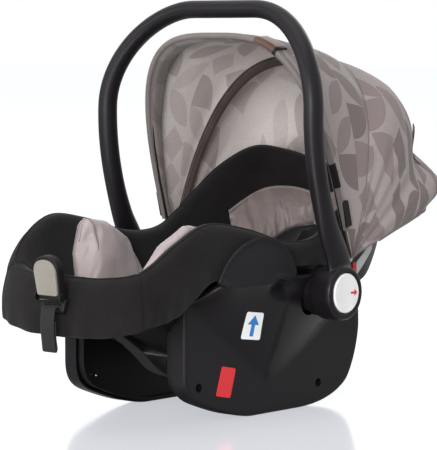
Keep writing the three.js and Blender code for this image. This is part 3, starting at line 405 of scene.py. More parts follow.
def grid_mesh(name, sheets, loop=False, materials=()):
    """Closed mesh between two grids of points in metres; coinciding points are merged."""
    upper, lower = (np.asarray(s, float) for s in sheets)
    rows, columns = upper.shape[:2]
    number = np.arange(rows * columns).reshape(rows, columns)
    faces, marks = [], []
    for i in range(rows - 1):
        k = i + 1
        for j in range(columns - 1):
            quad = (number[i, j], number[k, j], number[k, j + 1], number[i, j + 1])
            faces.append(quad)
            faces.append(tuple(n + rows * columns for n in reversed(quad)))
            marks += [0, 1]
    for i in range(rows - 1):
        k = i + 1
        for j, turned in ((0, False),) if loop else ((0, False), (columns - 1, True)):
            wall = [number[k, j], number[i, j], number[i, j] + rows * columns, number[k, j] + rows * columns]
            faces.append(tuple(reversed(wall)) if turned else tuple(wall))
            marks.append(1)
    for j in range(columns - 1 if not loop else 0):
        for i, turned in ((0, False), (rows - 1, True)):
            behind = rows * columns
            wall = [number[i, j], number[i, j + 1], number[i, j + 1] + behind, number[i, j] + behind]
            faces.append(tuple(reversed(wall)) if turned else tuple(wall))
            marks.append(1)
    mesh = bpy.data.meshes.new(name)
    points = np.concatenate([upper.reshape(-1, 3), lower.reshape(-1, 3)])
    mesh.from_pydata(points.tolist(), [], [tuple(int(n) for n in face) for face in faces])
    mesh.polygons.foreach_set("material_index", marks if len(materials) > 1 else [0] * len(marks))
    work = bmesh.new()
    work.from_mesh(mesh)
    bmesh.ops.remove_doubles(work, verts=work.verts, dist=2e-5)
    flat = [f for f in work.faces if f.calc_area() < 1e-12]
    bmesh.ops.delete(work, geom=flat, context="FACES")
    bmesh.ops.recalc_face_normals(work, faces=work.faces)
    work.to_mesh(mesh)
    work.free()
    for material in materials:
        mesh.materials.append(material)
    smooth(mesh)
    return in_scene(name, mesh)


def bucket_grid(places, rows, lift, edge="skirt"):
    """Grid of points on the bucket; lift is a number or a function of t, side and the rows."""
    grid = []
    for t, side in places:
        raised = lift(t, side, rows) if callable(lift) else lift
        grid.append(Section(t, side, edge).at(rows, raised))
    return placed(grid)


def crease_by_angle(piece, degrees):
    """Smooth shading with the sharp edges kept."""
    edges = bmesh.new()
    edges.from_mesh(piece.data)
    for edge in edges.edges:
        if len(edge.link_faces) == 2:
            edge.smooth = edge.calc_face_angle(0) < math.radians(degrees)
    edges.to_mesh(piece.data)
    edges.free()


def cut_away(piece, cutters):
    """The piece with each closed cutter taken out of it."""
    for cutter in cutters:
        tool = piece.modifiers.new("cut", "BOOLEAN")
        tool.operation = "DIFFERENCE"
        tool.object = cutter
        tool.solver = "EXACT"
        keep_result(piece)
        bpy.data.objects.remove(cutter)


def keep_result(piece):
    """The modifiers' result becomes the piece's own mesh."""
    bpy.context.view_layer.update()
    seen_piece = piece.evaluated_get(bpy.context.evaluated_depsgraph_get())
    result = bpy.data.meshes.new_from_object(seen_piece)
    piece.modifiers.clear()
    old = piece.data
    piece.data = result
    result.name = piece.name
    bpy.data.meshes.remove(old)


def box_cutter(middle, lean, size):
    """Box of a size in mm about middle, leaning back by lean."""
    turn = Matrix.Rotation(lean, 4, "X")
    move = Matrix.Translation(Vector(placed(middle)))
    cutter = bmesh.new()
    bmesh.ops.create_cube(cutter, size=0.001, matrix=move @ turn @ Matrix.Diagonal((*size, 1)))
    mesh = bpy.data.meshes.new("box_cutter")
    cutter.to_mesh(mesh)
    cutter.free()
    return in_scene("box_cutter", mesh)


def turned_mesh(name, profile, y, z, segments=64, side=1):
    """Solid of revolution about the X direction through (y, z): profile of (radius, x) in mm."""
    ring = [2 * math.pi * k / segments for k in range(segments)]
    shape = bmesh.new()
    rings = []
    for r, x in profile:
        if r < 1e-6:
            rings.append([shape.verts.new(placed((side * x, y, z)))])
        else:
            spots = [(side * x, y + r * math.cos(a), z + r * math.sin(a)) for a in ring]
            rings.append([shape.verts.new(placed(spot)) for spot in spots])
    for low, high in zip(rings, rings[1:]):
        for k in range(segments):
            n = (k + 1) % segments
            corners = [low[k % len(low)], low[n % len(low)], high[n % len(high)], high[k % len(high)]]
            corners = list(dict.fromkeys(corners))
            if len(corners) > 2:
                shape.faces.new(corners)
    bmesh.ops.recalc_face_normals(shape, faces=shape.faces)
    mesh = bpy.data.meshes.new(name)
    shape.to_mesh(mesh)
    shape.free()
    smooth(mesh)
    return in_scene(name, mesh)


def joined(pieces):
    """Several pieces as one object, which keeps the first one's name and materials."""
    with bpy.context.temp_override(active_object=pieces[0], selected_editable_objects=pieces):
        bpy.ops.object.join()
    return pieces[0]


def strap_slots():
    back_lean = math.atan(back_slope)
    seat_lean = math.atan(float(floor_height(-61) - floor_height(-63)) / 2)
    slots = (
        (38, 205, back_lean, (34, 10, 60)),
        (-38, 205, back_lean, (34, 10, 60)),
        (0, -62, seat_lean, (32, 9, 60)),
    )
    return [box_cutter((x, y, float(floor_height(y))), lean, size) for x, y, lean, size in slots]


shell_rows = np.concatenate([np.linspace(-1, -0.3, 9), np.linspace(-0.25, 0.15, 9), np.linspace(0.2, 1, 26)])
shell_places = around(110)
shell = grid_mesh(
    "shell_moulding",
    (bucket_grid(shell_places, shell_rows, 0), bucket_grid(shell_places, shell_rows, -shell_wall)),
    loop=True,
    materials=[black_plastic],
)
cut_away(shell, strap_slots())
hub_y, hub_z = 93, 172
boss_profile = [(0, 146), (30, 146), (30, 157.6), (29, 158), (0, 158)]
bosses = [turned_mesh("boss", boss_profile, hub_y, hub_z, side=s) for s in (1, -1)]
shell = joined([shell, *bosses])
one_material(shell, charcoal_plastic)
crease_by_angle(shell, 35)
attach(shell, "seat")
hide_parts("seat_shell")

# ---- Knit cover ----
# Black polyester knit over 5 mm of foam, pulled over the rim and held by an elastic hem under it.
# A piped seam runs round the crest, and cross seams join its front, side and head lengths.


def knit_fabric(name, dark, light, stitch=1.2, sheen=0.06):
    """Jersey with heathered yarn: fine columns of stitches crossed by a finer rib."""
    material, tree, shader = new_finish(name, 0.93, 0.1, sheen)
    shader.inputs["Sheen Roughness"].default_value = 0.55
    where = add_node(tree, "ShaderNodeTexCoord").outputs["Object"]
    yarn = texture(tree, where, "Noise", Scale=700, Detail=3, Roughness=0.7)
    patch = texture(tree, where, "Noise", Scale=14, Detail=4, Roughness=0.6)
    heather = mixed_noise(tree, yarn.outputs["Fac"], patch.outputs["Fac"], 0.65)
    two_tones(tree, heather, shader, dark, light, 0.36, 0.66)
    scale = 1000 / stitch / 6.3
    columns = texture(tree, where, "Wave", bands_direction="DIAGONAL", Scale=scale, Distortion=0.6)
    ribs = texture(tree, where, "Wave", bands_direction="Z", Scale=scale * 1.5, Distortion=0.4)
    weave = add_node(tree, "ShaderNodeMath", operation="ADD")
    link(tree, columns.outputs["Fac"], weave.inputs[0])
    link(tree, ribs.outputs["Fac"], weave.inputs[1])
    fine_relief(tree, weave.outputs[0], shader, 0.25, 0.0003)
    return material


black_knit = knit_fabric("black_knit", (0.0035, 0.003, 0.0032), (0.013, 0.0112, 0.0118))
seam_places = (0.163, 0.64)


def cover_lift(t, side, rows):
    """Top face of the foam: slack ripples at the hem, a soft crown, and a groove at each seam."""
    way = t if side > 0 else 2 - t
    hem = np.clip((-0.55 - rows) / 0.45, 0, 1)
    ripple = 1.1 * hem * np.sin(way * 150 + 2 * np.sin(way * 31)) + 0.5 * hem
    crown = 1.2 * np.exp(-(((rows + 0.05) / 0.2) ** 2))
    soft = [noise.noise(Vector((way * 9, float(w) * 3.4, 1.7))) for w in rows]
    crease = 0.9 * np.array(soft) * (rows > 0.15)
    groove = sum(np.exp(-(((t - place) * 620 / 2.2) ** 2)) for place in seam_places)
    return cover_gap + cover_thick + ripple + crown + crease - 2.2 * groove * (rows < 0.5)


def seam_stations(half):
    """Stations round the rim, closer together beside each seam."""
    spots = np.linspace(0, 1, half + 1)
    beside = np.array([-0.009, -0.006, -0.003, 0, 0.003, 0.006, 0.009])
    near = np.concatenate([place + beside for place in seam_places])
    spots = np.unique(np.concatenate([spots, near]).round(5))
    return [(float(t), 1) for t in spots] + [(float(t), -1) for t in spots[::-1][1:]]


cover_rows = np.concatenate(
    [np.linspace(-1, -0.3, 26), np.linspace(-0.26, 0.15, 14), np.linspace(0.18, 1, 40)]
)
cover_places = seam_stations(150)
cover = grid_mesh(
    "knit_cover",
    (
        bucket_grid(cover_places, cover_rows, cover_lift, "hem"),
        bucket_grid(cover_places, cover_rows, cover_gap, "hem"),
    ),
    loop=True,
    materials=[black_knit],
)
adjuster_lean = math.radians(16)
adjuster_place = np.array([0, -275, 178])


def on_adjuster(u, v, n):
    """Point in the adjuster's frame: u across, v up the face of the foot end, n forward."""
    tip = math.pi / 2 - adjuster_lean
    turn = np.array([u, v * math.cos(tip) - n * math.sin(tip), v * math.sin(tip) + n * math.cos(tip)])
    return turn + adjuster_place


neck_hole = box_cutter(on_adjuster(0, -9.5, -18), math.pi / 2 - adjuster_lean, (31, 11.4, 34))
cut_away(cover, [*strap_slots(), neck_hole])
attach(cover, "seat")
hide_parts("seat_cover")


def line_tree(name, size_name):
    """Geometry Nodes tree that reads a line as a curve: the tree, its inputs, curve and size."""
    tree = bpy.data.node_groups.new(name, "GeometryNodeTree")
    for way in ("INPUT", "OUTPUT"):
        tree.interface.new_socket("Geometry", in_out=way, socket_type="NodeSocketGeometry")
    size = tree.interface.new_socket(size_name, in_out="INPUT", socket_type="NodeSocketFloat")
    start = add_node(tree, "NodeGroupInput")
    curve = add_node(tree, "GeometryNodeMeshToCurve")
    link(tree, start.outputs["Geometry"], curve.inputs[0])
    return tree, start, curve, size


def grown_along(name, path, tree, shape, size, value, material, closed=False):
    """Ends the tree with real geometry and its material, and runs it on a path in metres."""
    real = add_node(tree, "GeometryNodeRealizeInstances")
    finish = add_node(tree, "GeometryNodeSetMaterial")
    finish.inputs["Material"].default_value = material
    end = add_node(tree, "NodeGroupOutput")
    link(tree, shape, real.inputs[0])
    link(tree, real.outputs[0], finish.inputs[0])
    link(tree, finish.outputs[0], end.inputs[0])
    steps = [(i, i + 1) for i in range(len(path) - 1)] + ([(len(path) - 1, 0)] if closed else [])
    line = bpy.data.meshes.new(name)
    line.from_pydata([tuple(p) for p in path], steps, [])
    made = in_scene(name, line)
    grow = made.modifiers.new("grow", "NODES")
    grow.node_group = tree
    grow[size.identifier] = value
    keep_result(made)
    one_material(made, material)
    return made


def tube(name, path, radius, material, sides=10, closed=False):
    """Round cord swept along a path in metres by Geometry Nodes, as a plain closed mesh."""
    tree, start, curve, size = line_tree(name + "_sweep", "Radius")
    ring = add_node(tree, "GeometryNodeCurvePrimitiveCircle", Resolution=sides)
    sweep = add_node(tree, "GeometryNodeCurveToMesh")
    sweep.inputs["Fill Caps"].default_value = True
    shade = add_node(tree, "GeometryNodeSetShadeSmooth")
    link(tree, start.outputs["Radius"], ring.inputs["Radius"])
    link(tree, curve.outputs[0], sweep.inputs["Curve"])
    link(tree, ring.outputs[0], sweep.inputs["Profile Curve"])
    link(tree, sweep.outputs[0], shade.inputs[0])
    return grown_along(name, path, tree, shade.outputs[0], size, radius, material, closed)


def on_cover(t, side, w, above):
    lift = float(cover_lift(t, side, np.array([w]))[0]) + above
    return placed(Section(t, side, "hem").at(w, lift))[0]


crest_line = [on_cover(t, side, -0.12, 0.2) for t, side in around(110)][:-1]
crest_piping = tube("crest_piping", crest_line, 0.0014, black_knit, closed=True)
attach(crest_piping, "seat")

# ---- Body insert and head pad ----
# Quilted satin pads in mauve beige, filled with fibre: two leg bolsters that climb to the rim, a
# thinner middle, and a horseshoe round the head with a corded edge.


def satin(name, shade, tint, roughness=0.5):
    """Close satin weave with a soft directional lustre and slight colour drift."""
    material, tree, shader = new_finish(name, roughness, 0.35, 0.3)
    shader.inputs["Sheen Roughness"].default_value = 0.4
    where = add_node(tree, "ShaderNodeTexCoord").outputs["Object"]
    drift = texture(tree, where, "Noise", Scale=22, Detail=4, Roughness=0.6)
    thread = texture(tree, where, "Noise", Scale=1100, Detail=2, Roughness=0.6)
    both = mixed_noise(tree, thread.outputs["Fac"], drift.outputs["Fac"], 0.35)
    two_tones(tree, both, shader, shade, tint, 0.32, 0.68)
    warp = texture(tree, where, "Wave", bands_direction="DIAGONAL", Scale=190, Distortion=0.5)
    cloth = add_node(tree, "ShaderNodeMath", operation="ADD")
    link(tree, warp.outputs["Fac"], cloth.inputs[0])
    link(tree, thread.outputs["Fac"], cloth.inputs[1])
    fine_relief(tree, cloth.outputs[0], shader, 0.35, 0.0002)
    return material


mauve_satin = satin("mauve_satin", (0.27, 0.222, 0.224), (0.39, 0.33, 0.332))
# The head pad's satin is the insert's mauve beige darkened to about half: painted shade for the shadow the
# canopy casts on it.
shaded_satin = satin("painted_shade_satin", (0.125, 0.099, 0.095), (0.185, 0.15, 0.145))
# The head pad's corded edge, darkened like the pad: painted shade from the canopy.
painted_shade_cord = satin("painted_shade_cord", (0.13, 0.105, 0.1), (0.2, 0.165, 0.155), roughness=0.65)
pad_base = cover_gap + cover_thick + 0.3


def insert_span(side):
    """Where the insert starts along the half rim: it lies further forward on the left."""
    return (0.185 if side > 0 else 0.355), 0.63


def insert_point(s, c, side, lift):
    """Point of the insert: s from its front edge up the back, c from its upper edge to the middle."""
    front, rear = insert_span(side)
    middle_front = 0.26
    start = front + (middle_front - front) * c**1.5
    t = start + (rear - start) * s
    knots = [0, 0.1, 0.26, 0.45, 0.66, 1]
    heights = [0.1, 0.03, 0.03, 0.17, 0.42, 0.5] if side > 0 else [0.26, 0.08, 0.07, 0.16, 0.42, 0.5]
    top = float(np.interp(s, knots, heights))
    return Section(float(round(t, 5)), side).at(top + (1 - top) * c, lift)[0]


def insert_lift(s, c, side):
    ends = min(1, 9 * min(s, 1 - s))
    edge = min(1, (10 if side > 0 else 7) * c)
    bolster = 1 + 0.5 * math.exp(-(((c - 0.17) / 0.15) ** 2)) * math.exp(-(((s - 0.2) / 0.28) ** 2))
    seam = math.exp(-(((c - 0.4) / 0.018) ** 2)) + math.exp(-(((s - 0.47) / 0.016) ** 2)) * (c < 0.42)
    full = 20 * (0.3 + 0.7 * math.sqrt(min(ends, edge))) * bolster
    crease = 1.6 * noise.noise(Vector((s * 7, c * 6 + 3 * side, 4.2)))
    return pad_base + full * (1 - 0.3 * min(1, seam)) + crease * min(ends, edge)


def insert_grid(lift):
    rows = np.concatenate(
        [np.linspace(0, 0.06, 7)[:-1], np.linspace(0.06, 0.94, 76), np.linspace(0.94, 1, 7)[1:]]
    )
    climb = np.concatenate([np.linspace(0, 0.1, 8)[:-1], np.linspace(0.1, 1, 40)])
    grid = []
    for s in rows:
        left = [insert_point(s, c, 1, lift(s, c, 1)) for c in climb]
        right = [insert_point(s, c, -1, lift(s, c, -1)) for c in climb[:-1]]
        grid.append(left + right[::-1])
    return placed(grid)


def plump(piece, pressure, cap, under, frames=16, slack=0.02):
    """Inflates a closed pad as cloth with air in it. No point moves more than cap, and the points
    of its under side stay where they rest on what carries them."""
    before = np.array([v.co for v in piece.data.vertices])
    group = piece.vertex_groups.new(name="pinned")
    resting = {tuple(np.round(p, 5)) for p in under.reshape(-1, 3)}
    for v in piece.data.vertices:
        if tuple(np.round(v.co, 5)) in resting:
            group.add([v.index], 1.0, "REPLACE")
    cloth = piece.modifiers.new("air", "CLOTH")
    setting = cloth.settings
    setting.quality = 5
    setting.mass = 0.2
    setting.tension_stiffness = setting.compression_stiffness = 12
    setting.shear_stiffness = 6
    setting.bending_stiffness = 0.4
    setting.use_pressure = True
    setting.uniform_pressure_force = pressure
    setting.vertex_group_mass = "pinned"
    setting.shrink_min = -slack
    setting.effector_weights.gravity = 0
    cloth.collision_settings.use_collision = False
    cloth.point_cache.frame_start = 1
    cloth.point_cache.frame_end = frames
    for step in range(1, frames + 1):
        bpy.context.scene.frame_set(step)
    keep_result(piece)
    bpy.context.scene.frame_set(1)
    after = np.array([v.co for v in piece.data.vertices])
    moved = after - before
    length = np.linalg.norm(moved, axis=1, keepdims=True)
    kept = before + moved * np.minimum(1, cap / np.maximum(length, 1e-9))
    piece.data.vertices.foreach_set("co", kept.ravel())
    smooth(piece.data)
    piece.data.update()


insert_top = insert_grid(insert_lift)
insert_under = insert_grid(lambda s, c, side: pad_base + 0.4)
insert = grid_mesh("body_insert_pad", (insert_top, insert_under), materials=[mauve_satin])
plump(insert, 2.5, 0.006, insert_under)
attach(insert, "seat")
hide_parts("body_insert")


def head_point(s, r, lift):
    t = round(1 - abs(s) * 0.25, 5)
    return Section(t, 1 if s >= 0 else -1).at(0.33 + 0.41 * r, lift)[0]


def head_lift(s, r):
    thick = 24 * (1 - 0.5 * abs(s) ** 4)
    edge = min(1, 8 * (1 - abs(s)))
    fold = 3.2 * noise.noise(Vector((s * 11, r * 1.3, 0.6))) + 1.2 * noise.noise(Vector((s * 26, r * 4, 2.1)))
    crown = 0.32 + 0.68 * math.sin(math.pi * min(1, r * 1.02)) ** 0.7
    return pad_base + thick * crown * edge**0.5 + fold * edge


head_rows = np.linspace(-1, 1, 121)
head_climb = np.linspace(0, 1, 34)
head_top = placed([[head_point(s, r, head_lift(s, r)) for r in head_climb] for s in head_rows])
head_under = placed([[head_point(s, r, pad_base + 0.4) for r in head_climb] for s in head_rows])
head_pad = grid_mesh("head_support_pad", (head_top, head_under), materials=[shaded_satin])
plump(head_pad, 2.0, 0.005, head_under)
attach(head_pad, "seat")
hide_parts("head_pad")

head_cord_line = [placed(head_point(s, 0.0, head_lift(s, 0.0) + 1.2)) for s in head_rows]
head_cord = tube("head_pad_cord", head_cord_line, 0.0026, painted_shade_cord)
cord_stations = np.linspace(0.03, 0.97, 70)
pad_cords = [head_cord]
for side, hand in both_sides:
    cord_line = [placed(insert_point(s, 0.0, side, insert_lift(s, 0, side) + 0.6)) for s in cord_stations]
    pad_cords.append(tube("insert_cord_" + hand, cord_line, 0.0016, mauve_satin))
# The bolster's seam cord is drawn in the head pad's darkened satin: painted shade along the seam.
bolster_seam_line = [
    placed(insert_point(0.1 + 0.06 * c, c, -1, insert_lift(0.1 + 0.06 * c, c, -1) + 0.5))
    for c in np.linspace(0, 0.7, 50)
]
pad_cords.append(tube("bolster_seam", bolster_seam_line, 0.0011, shaded_satin))
for cord_piece in pad_cords:
    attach(cord_piece, "seat")

# ---- Side panels and lap belt guides ----
# Two large charcoal mouldings screwed to the rockers, open at the back. A shallow V is pressed
# into each, the lower edges are rockers, and a lipped plate on top guides the lap belt.


def bezier(a, b, c, d, steps=18):
    u = np.linspace(0, 1, steps + 1)[1:, None]
    a, b, c, d = (np.array(p, float) for p in (a, b, c, d))
    return (1 - u) ** 3 * a + 3 * u * (1 - u) ** 2 * b + 3 * u * u * (1 - u) * c + u**3 * d


def even_outline(corners, pitch, ease):
    """Closed outline at an even pitch, its corners eased over a few millimetres."""
    line = np.array([*corners, corners[0]], float)
    steps = run_along(line)
    count = int(steps[-1] / pitch)
    spots = np.linspace(0, steps[-1], count, endpoint=False)
    even = np.stack([np.interp(spots, steps, line[:, k]) for k in (0, 1)], 1)
    for _ in range(ease):
        even = (np.roll(even, 1, 0) + 2 * even + np.roll(even, -1, 0)) / 4
    return even


def inset_outline(outline, depth):
    along = unit(np.roll(outline, -1, 0) - np.roll(outline, 1, 0))
    inward = np.stack([-along[:, 1], along[:, 0]], 1)
    y, z = outline.T
    area = 0.5 * np.sum(y * np.roll(z, -1) - np.roll(y, -1) * z)
    return outline + inward * (depth if area > 0 else -depth)


def inside(points, outline):
    y, z = points[:, 0:1], points[:, 1:2]
    y0, z0 = outline[:, 0], outline[:, 1]
    y1, z1 = np.roll(y0, -1), np.roll(z0, -1)
    crosses = (z0 > z) != (z1 > z)
    at = (y1 - y0) * (z - z0) / np.where(z1 == z0, 1e-9, z1 - z0) + y0
    return (np.sum(crosses & (y < at), axis=1) % 2) == 1


def distance_to(points, outline):
    return np.min(np.linalg.norm(points[:, None, :] - outline[None, :, :], axis=2), axis=1)


def left_side(points):
    return placed(points)


def right_side(points):
    return placed(np.asarray(points) * (-1, 1, 1))


def moulded_shell(name, outline, face_x, back_x, edge, wall, in_place, material, pitch=4.0):
    """Thin moulding drawn as (height, a, b): a face over an outline in a and b, a rounded edge, and
    a flange turned in to back_x. in_place takes such points to metres."""
    inner = inset_outline(outline, edge)
    low, high = inner.min(0), inner.max(0)
    steps_y = np.arange(low[0], high[0], pitch)
    steps_z = np.arange(low[1], high[1], pitch)
    grid = np.array([(y, z) for y in steps_y for z in steps_z])
    grid = grid[inside(grid, inner)]
    grid = grid[distance_to(grid, inner) > pitch * 0.6]
    flat = [Vector(p) for p in np.concatenate([inner, grid])]
    loop = [(i, (i + 1) % len(inner)) for i in range(len(inner))]
    made = geometry.delaunay_2d_cdt(flat, loop, [], 1, 1e-5)
    spots = np.array([tuple(p) for p in made[0]])
    ring = [[] for _ in inner]
    for new, sources in enumerate(made[3]):
        for old in sources:
            if old < len(inner):
                ring[old] = new
    points = [(x, y, z) for x, (y, z) in zip(face_x(spots), spots)]
    faces = [tuple(f) for f in made[2]]
    rows = [ring]
    face_at = face_x(inner)
    for turn in (30, 60, 90):
        down = math.radians(turn)
        row = inset_outline(outline, edge * (1 - math.sin(down)))
        drop = edge * (1 - math.cos(down))
        rows.append(list(range(len(points), len(points) + len(row))))
        points += [(x - drop, y, z) for x, (y, z) in zip(face_at, row)]
    ends = back_x(outline, face_at - edge)
    for share in (0.33, 0.66, 1):
        rows.append(list(range(len(points), len(points) + len(outline))))
        spots_in = zip(face_at, ends, outline)
        points += [(x - edge + (end - x + edge) * share, y, z) for x, end, (y, z) in spots_in]
    for upper, lower in zip(rows, rows[1:]):
        for i in range(len(inner)):
            k = (i + 1) % len(inner)
            faces.append((upper[i], upper[k], lower[k], lower[i]))
    mesh = bpy.data.meshes.new(name)
    mesh.from_pydata(in_place(points).tolist(), [], faces)
    work = bmesh.new()
    work.from_mesh(mesh)
    bmesh.ops.recalc_face_normals(work, faces=work.faces)
    outward = Vector(in_place([(1, 0, 0)])[0] - in_place([(0, 0, 0)])[0])
    if sum(f.normal.dot(outward) * f.calc_area() for f in work.faces) < 0:
        bmesh.ops.reverse_faces(work, faces=work.faces)
    work.to_mesh(mesh)
    work.free()
    smooth(mesh)
    mesh.materials.append(material)
    shell_piece = in_scene(name, mesh)
    thick = shell_piece.modifiers.new("wall", "SOLIDIFY")
    thick.thickness = wall * 0.001
    thick.offset = -1
    keep_result(shell_piece)
    return shell_piece


def relief_line(y):
    reach = y - 28
    slope = np.where(reach < 0, 1.12, 0.66)
    limit = 0.00165 * np.where(reach < 0, reach * reach, 0)
    return 30 + slope * np.sqrt(reach * reach + 700) * 0.96 - limit


def panel_face(spots):
    y, z = spots.T
    low = np.minimum(relief_line(y), 172)
    climb = (z - low) / (198 - low)
    climb = np.clip((climb + np.sqrt(climb**2 + 0.0016)) / 2, 0, 1.02)
    dip = 15 * np.exp(-(((y - 22) / 30) ** 2) - ((z - 186) / 13) ** 2)
    return 114.5 + 55.5 * climb - dip


panel_corners = np.concatenate(
    [
        [(0, 0), (55, 0), (110, 0)],
        bezier((110, 0), (160, 1), (195, 12), (216, 30)),
        bezier((216, 30), (227, 44), (241, 72), (245, 108)),
        [(243, 168), (118, 160), (112, 198), (-112, 198)],
        bezier((-112, 198), (-126, 197), (-137, 172), (-141, 158)),
        [(-141, 70)],
        bezier((-141, 70), (-140, 44), (-127, 34), (-103, 26)),
        bezier((-103, 26), (-62, 11), (-32, 3), (0, 0)),
    ]
)
panel_outline = even_outline(panel_corners, 2.5, 5)
guide_corners = np.concatenate(
    [
        bezier((-136, 195), (-126, 226), (-98, 248), (-60, 256)),
        bezier((-60, 256), (-26, 262), (8, 250), (26, 216)),
        bezier((26, 216), (32, 202), (34, 196), (33, 190)),
        [(-4, 197), (-30, 189), (-106, 189)],
    ]
)
guide_outline = even_outline(guide_corners, 2, 4)


def surface_tree(piece):
    points = [v.co.copy() for v in piece.data.vertices]
    return BVHTree.FromPolygons(points, [tuple(p.vertices) for p in piece.data.polygons])


skin = surface_tree(cover)


def panel_back(outline, nearest):
    """How far the flange turns in: to the rocker's inner wall, or to just short of the cover."""
    ends = []
    for (y, z), near in zip(outline, nearest):
        start = Vector(placed((near, y, z)))
        hit = skin.ray_cast(start, Vector((-1, 0, 0)), 0.2)[0]
        stop = hit.x * 1000 + 1.2 if hit else 90.5
        ends.append(min(max(90.5, stop), near - 1))
    ends = np.array(ends)
    return np.minimum(np.maximum(ends, np.where(outline[:, 1] > 186, nearest - 7, 0)), nearest - 1)


def guide_face(spots):
    lip = 1 - np.clip((distance_to(spots, guide_outline) - 3.6) / 4, 0, 1)
    y, z = spots.T
    crown = 1.2 * np.exp(-(((y + 50) / 60) ** 2) - ((z - 222) / 26) ** 2)
    return 168.6 + crown + 3 * lip * lip * (3 - 2 * lip) * np.clip((z - 192) / 12, 0, 1)


def level(height):
    """Flat face or back of a moulding, for moulded_shell, which hands a back its rim's height too."""
    return lambda spots, rim=0: np.full(len(spots), height)


screw_places = ((-112, 52), (148, 32))
panels = {}
for side, hand in both_sides:
    in_place = left_side if side > 0 else right_side
    panel = moulded_shell(
        "side_panel_moulding_" + hand, panel_outline, panel_face, panel_back, 4, 3, in_place, charcoal_plastic
    )
    screw_cup = [(2.8, 100.4), (6.2, 100.4), (6.2, 114), (7.4, 113.4), (7.4, 99.4), (2.8, 99.4)]
    hub_bore = [(0, 100), (35.5, 100), (35.5, 200), (0, 200)]
    screw_bore = [(0, 100), (6.2, 100), (6.2, 130), (0, 130)]
    cutters = [turned_mesh("hub_cutter", hub_bore, hub_y, hub_z, side=side)]
    cutters += [turned_mesh("screw_cutter", screw_bore, y, z, 32, side) for y, z in screw_places]
    cut_away(panel, cutters)
    cups = [turned_mesh("cup", screw_cup, y, z, 32, side) for y, z in screw_places]
    guide = moulded_shell(
        "guide", guide_outline, guide_face, level(166.0), 2.2, 1.6, in_place, charcoal_plastic, 3.0
    )
    panel = joined([panel, *cups, guide])
    one_material(panel, charcoal_plastic)
    crease_by_angle(panel, 38)
    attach(panel, "seat")
    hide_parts("side_panel_" + hand)
    panels[side] = panel

# ---- Canopy ----
# Two printed canvas panels sewn to a pair of bows that pivot behind the hubs. The front edge is
# rolled over a darker facing, the middle bow runs in a brown sleeve, and a leather strap gathers
# the back into a pocket above its hem.
fan_y, fan_z = 150, 215
canopy_half = 175
front_angle, middle_angle = -17.5, 19
hem_middle, hem_side = 80, 71
arch_table = np.array(
    [
        (-17.5, 333, 3.3),
        (0, 310, 3),
        (19, 304, 2.7),
        (32, 305, 3.7),
        (45, 299, 4.3),
        (60, 292, 4.6),
        (71, 284, 4.8),
        (82, 260, 4.8),
    ]
)


def canopy_point(angle, turn, depth=0):
    """Point of the canopy: angle round the fan, turn over the arch from -90 to 90, drawn in by depth."""
    angle, turn, depth = np.broadcast_arrays(np.asarray(angle, float), turn, depth)
    radius, power = (np.interp(angle, arch_table[:, 0], arch_table[:, k]) for k in (1, 2))
    lean, swing = np.radians(turn), np.radians(angle)
    across = np.sign(lean) * np.abs(np.sin(lean)) ** (2 / power)
    r = (radius - depth) * np.clip(np.cos(lean), 0, 1) ** (2 / power)
    x = (canopy_half - depth) * across
    return np.stack([x, fan_y + r * np.sin(swing), fan_z + r * np.cos(swing)], -1)


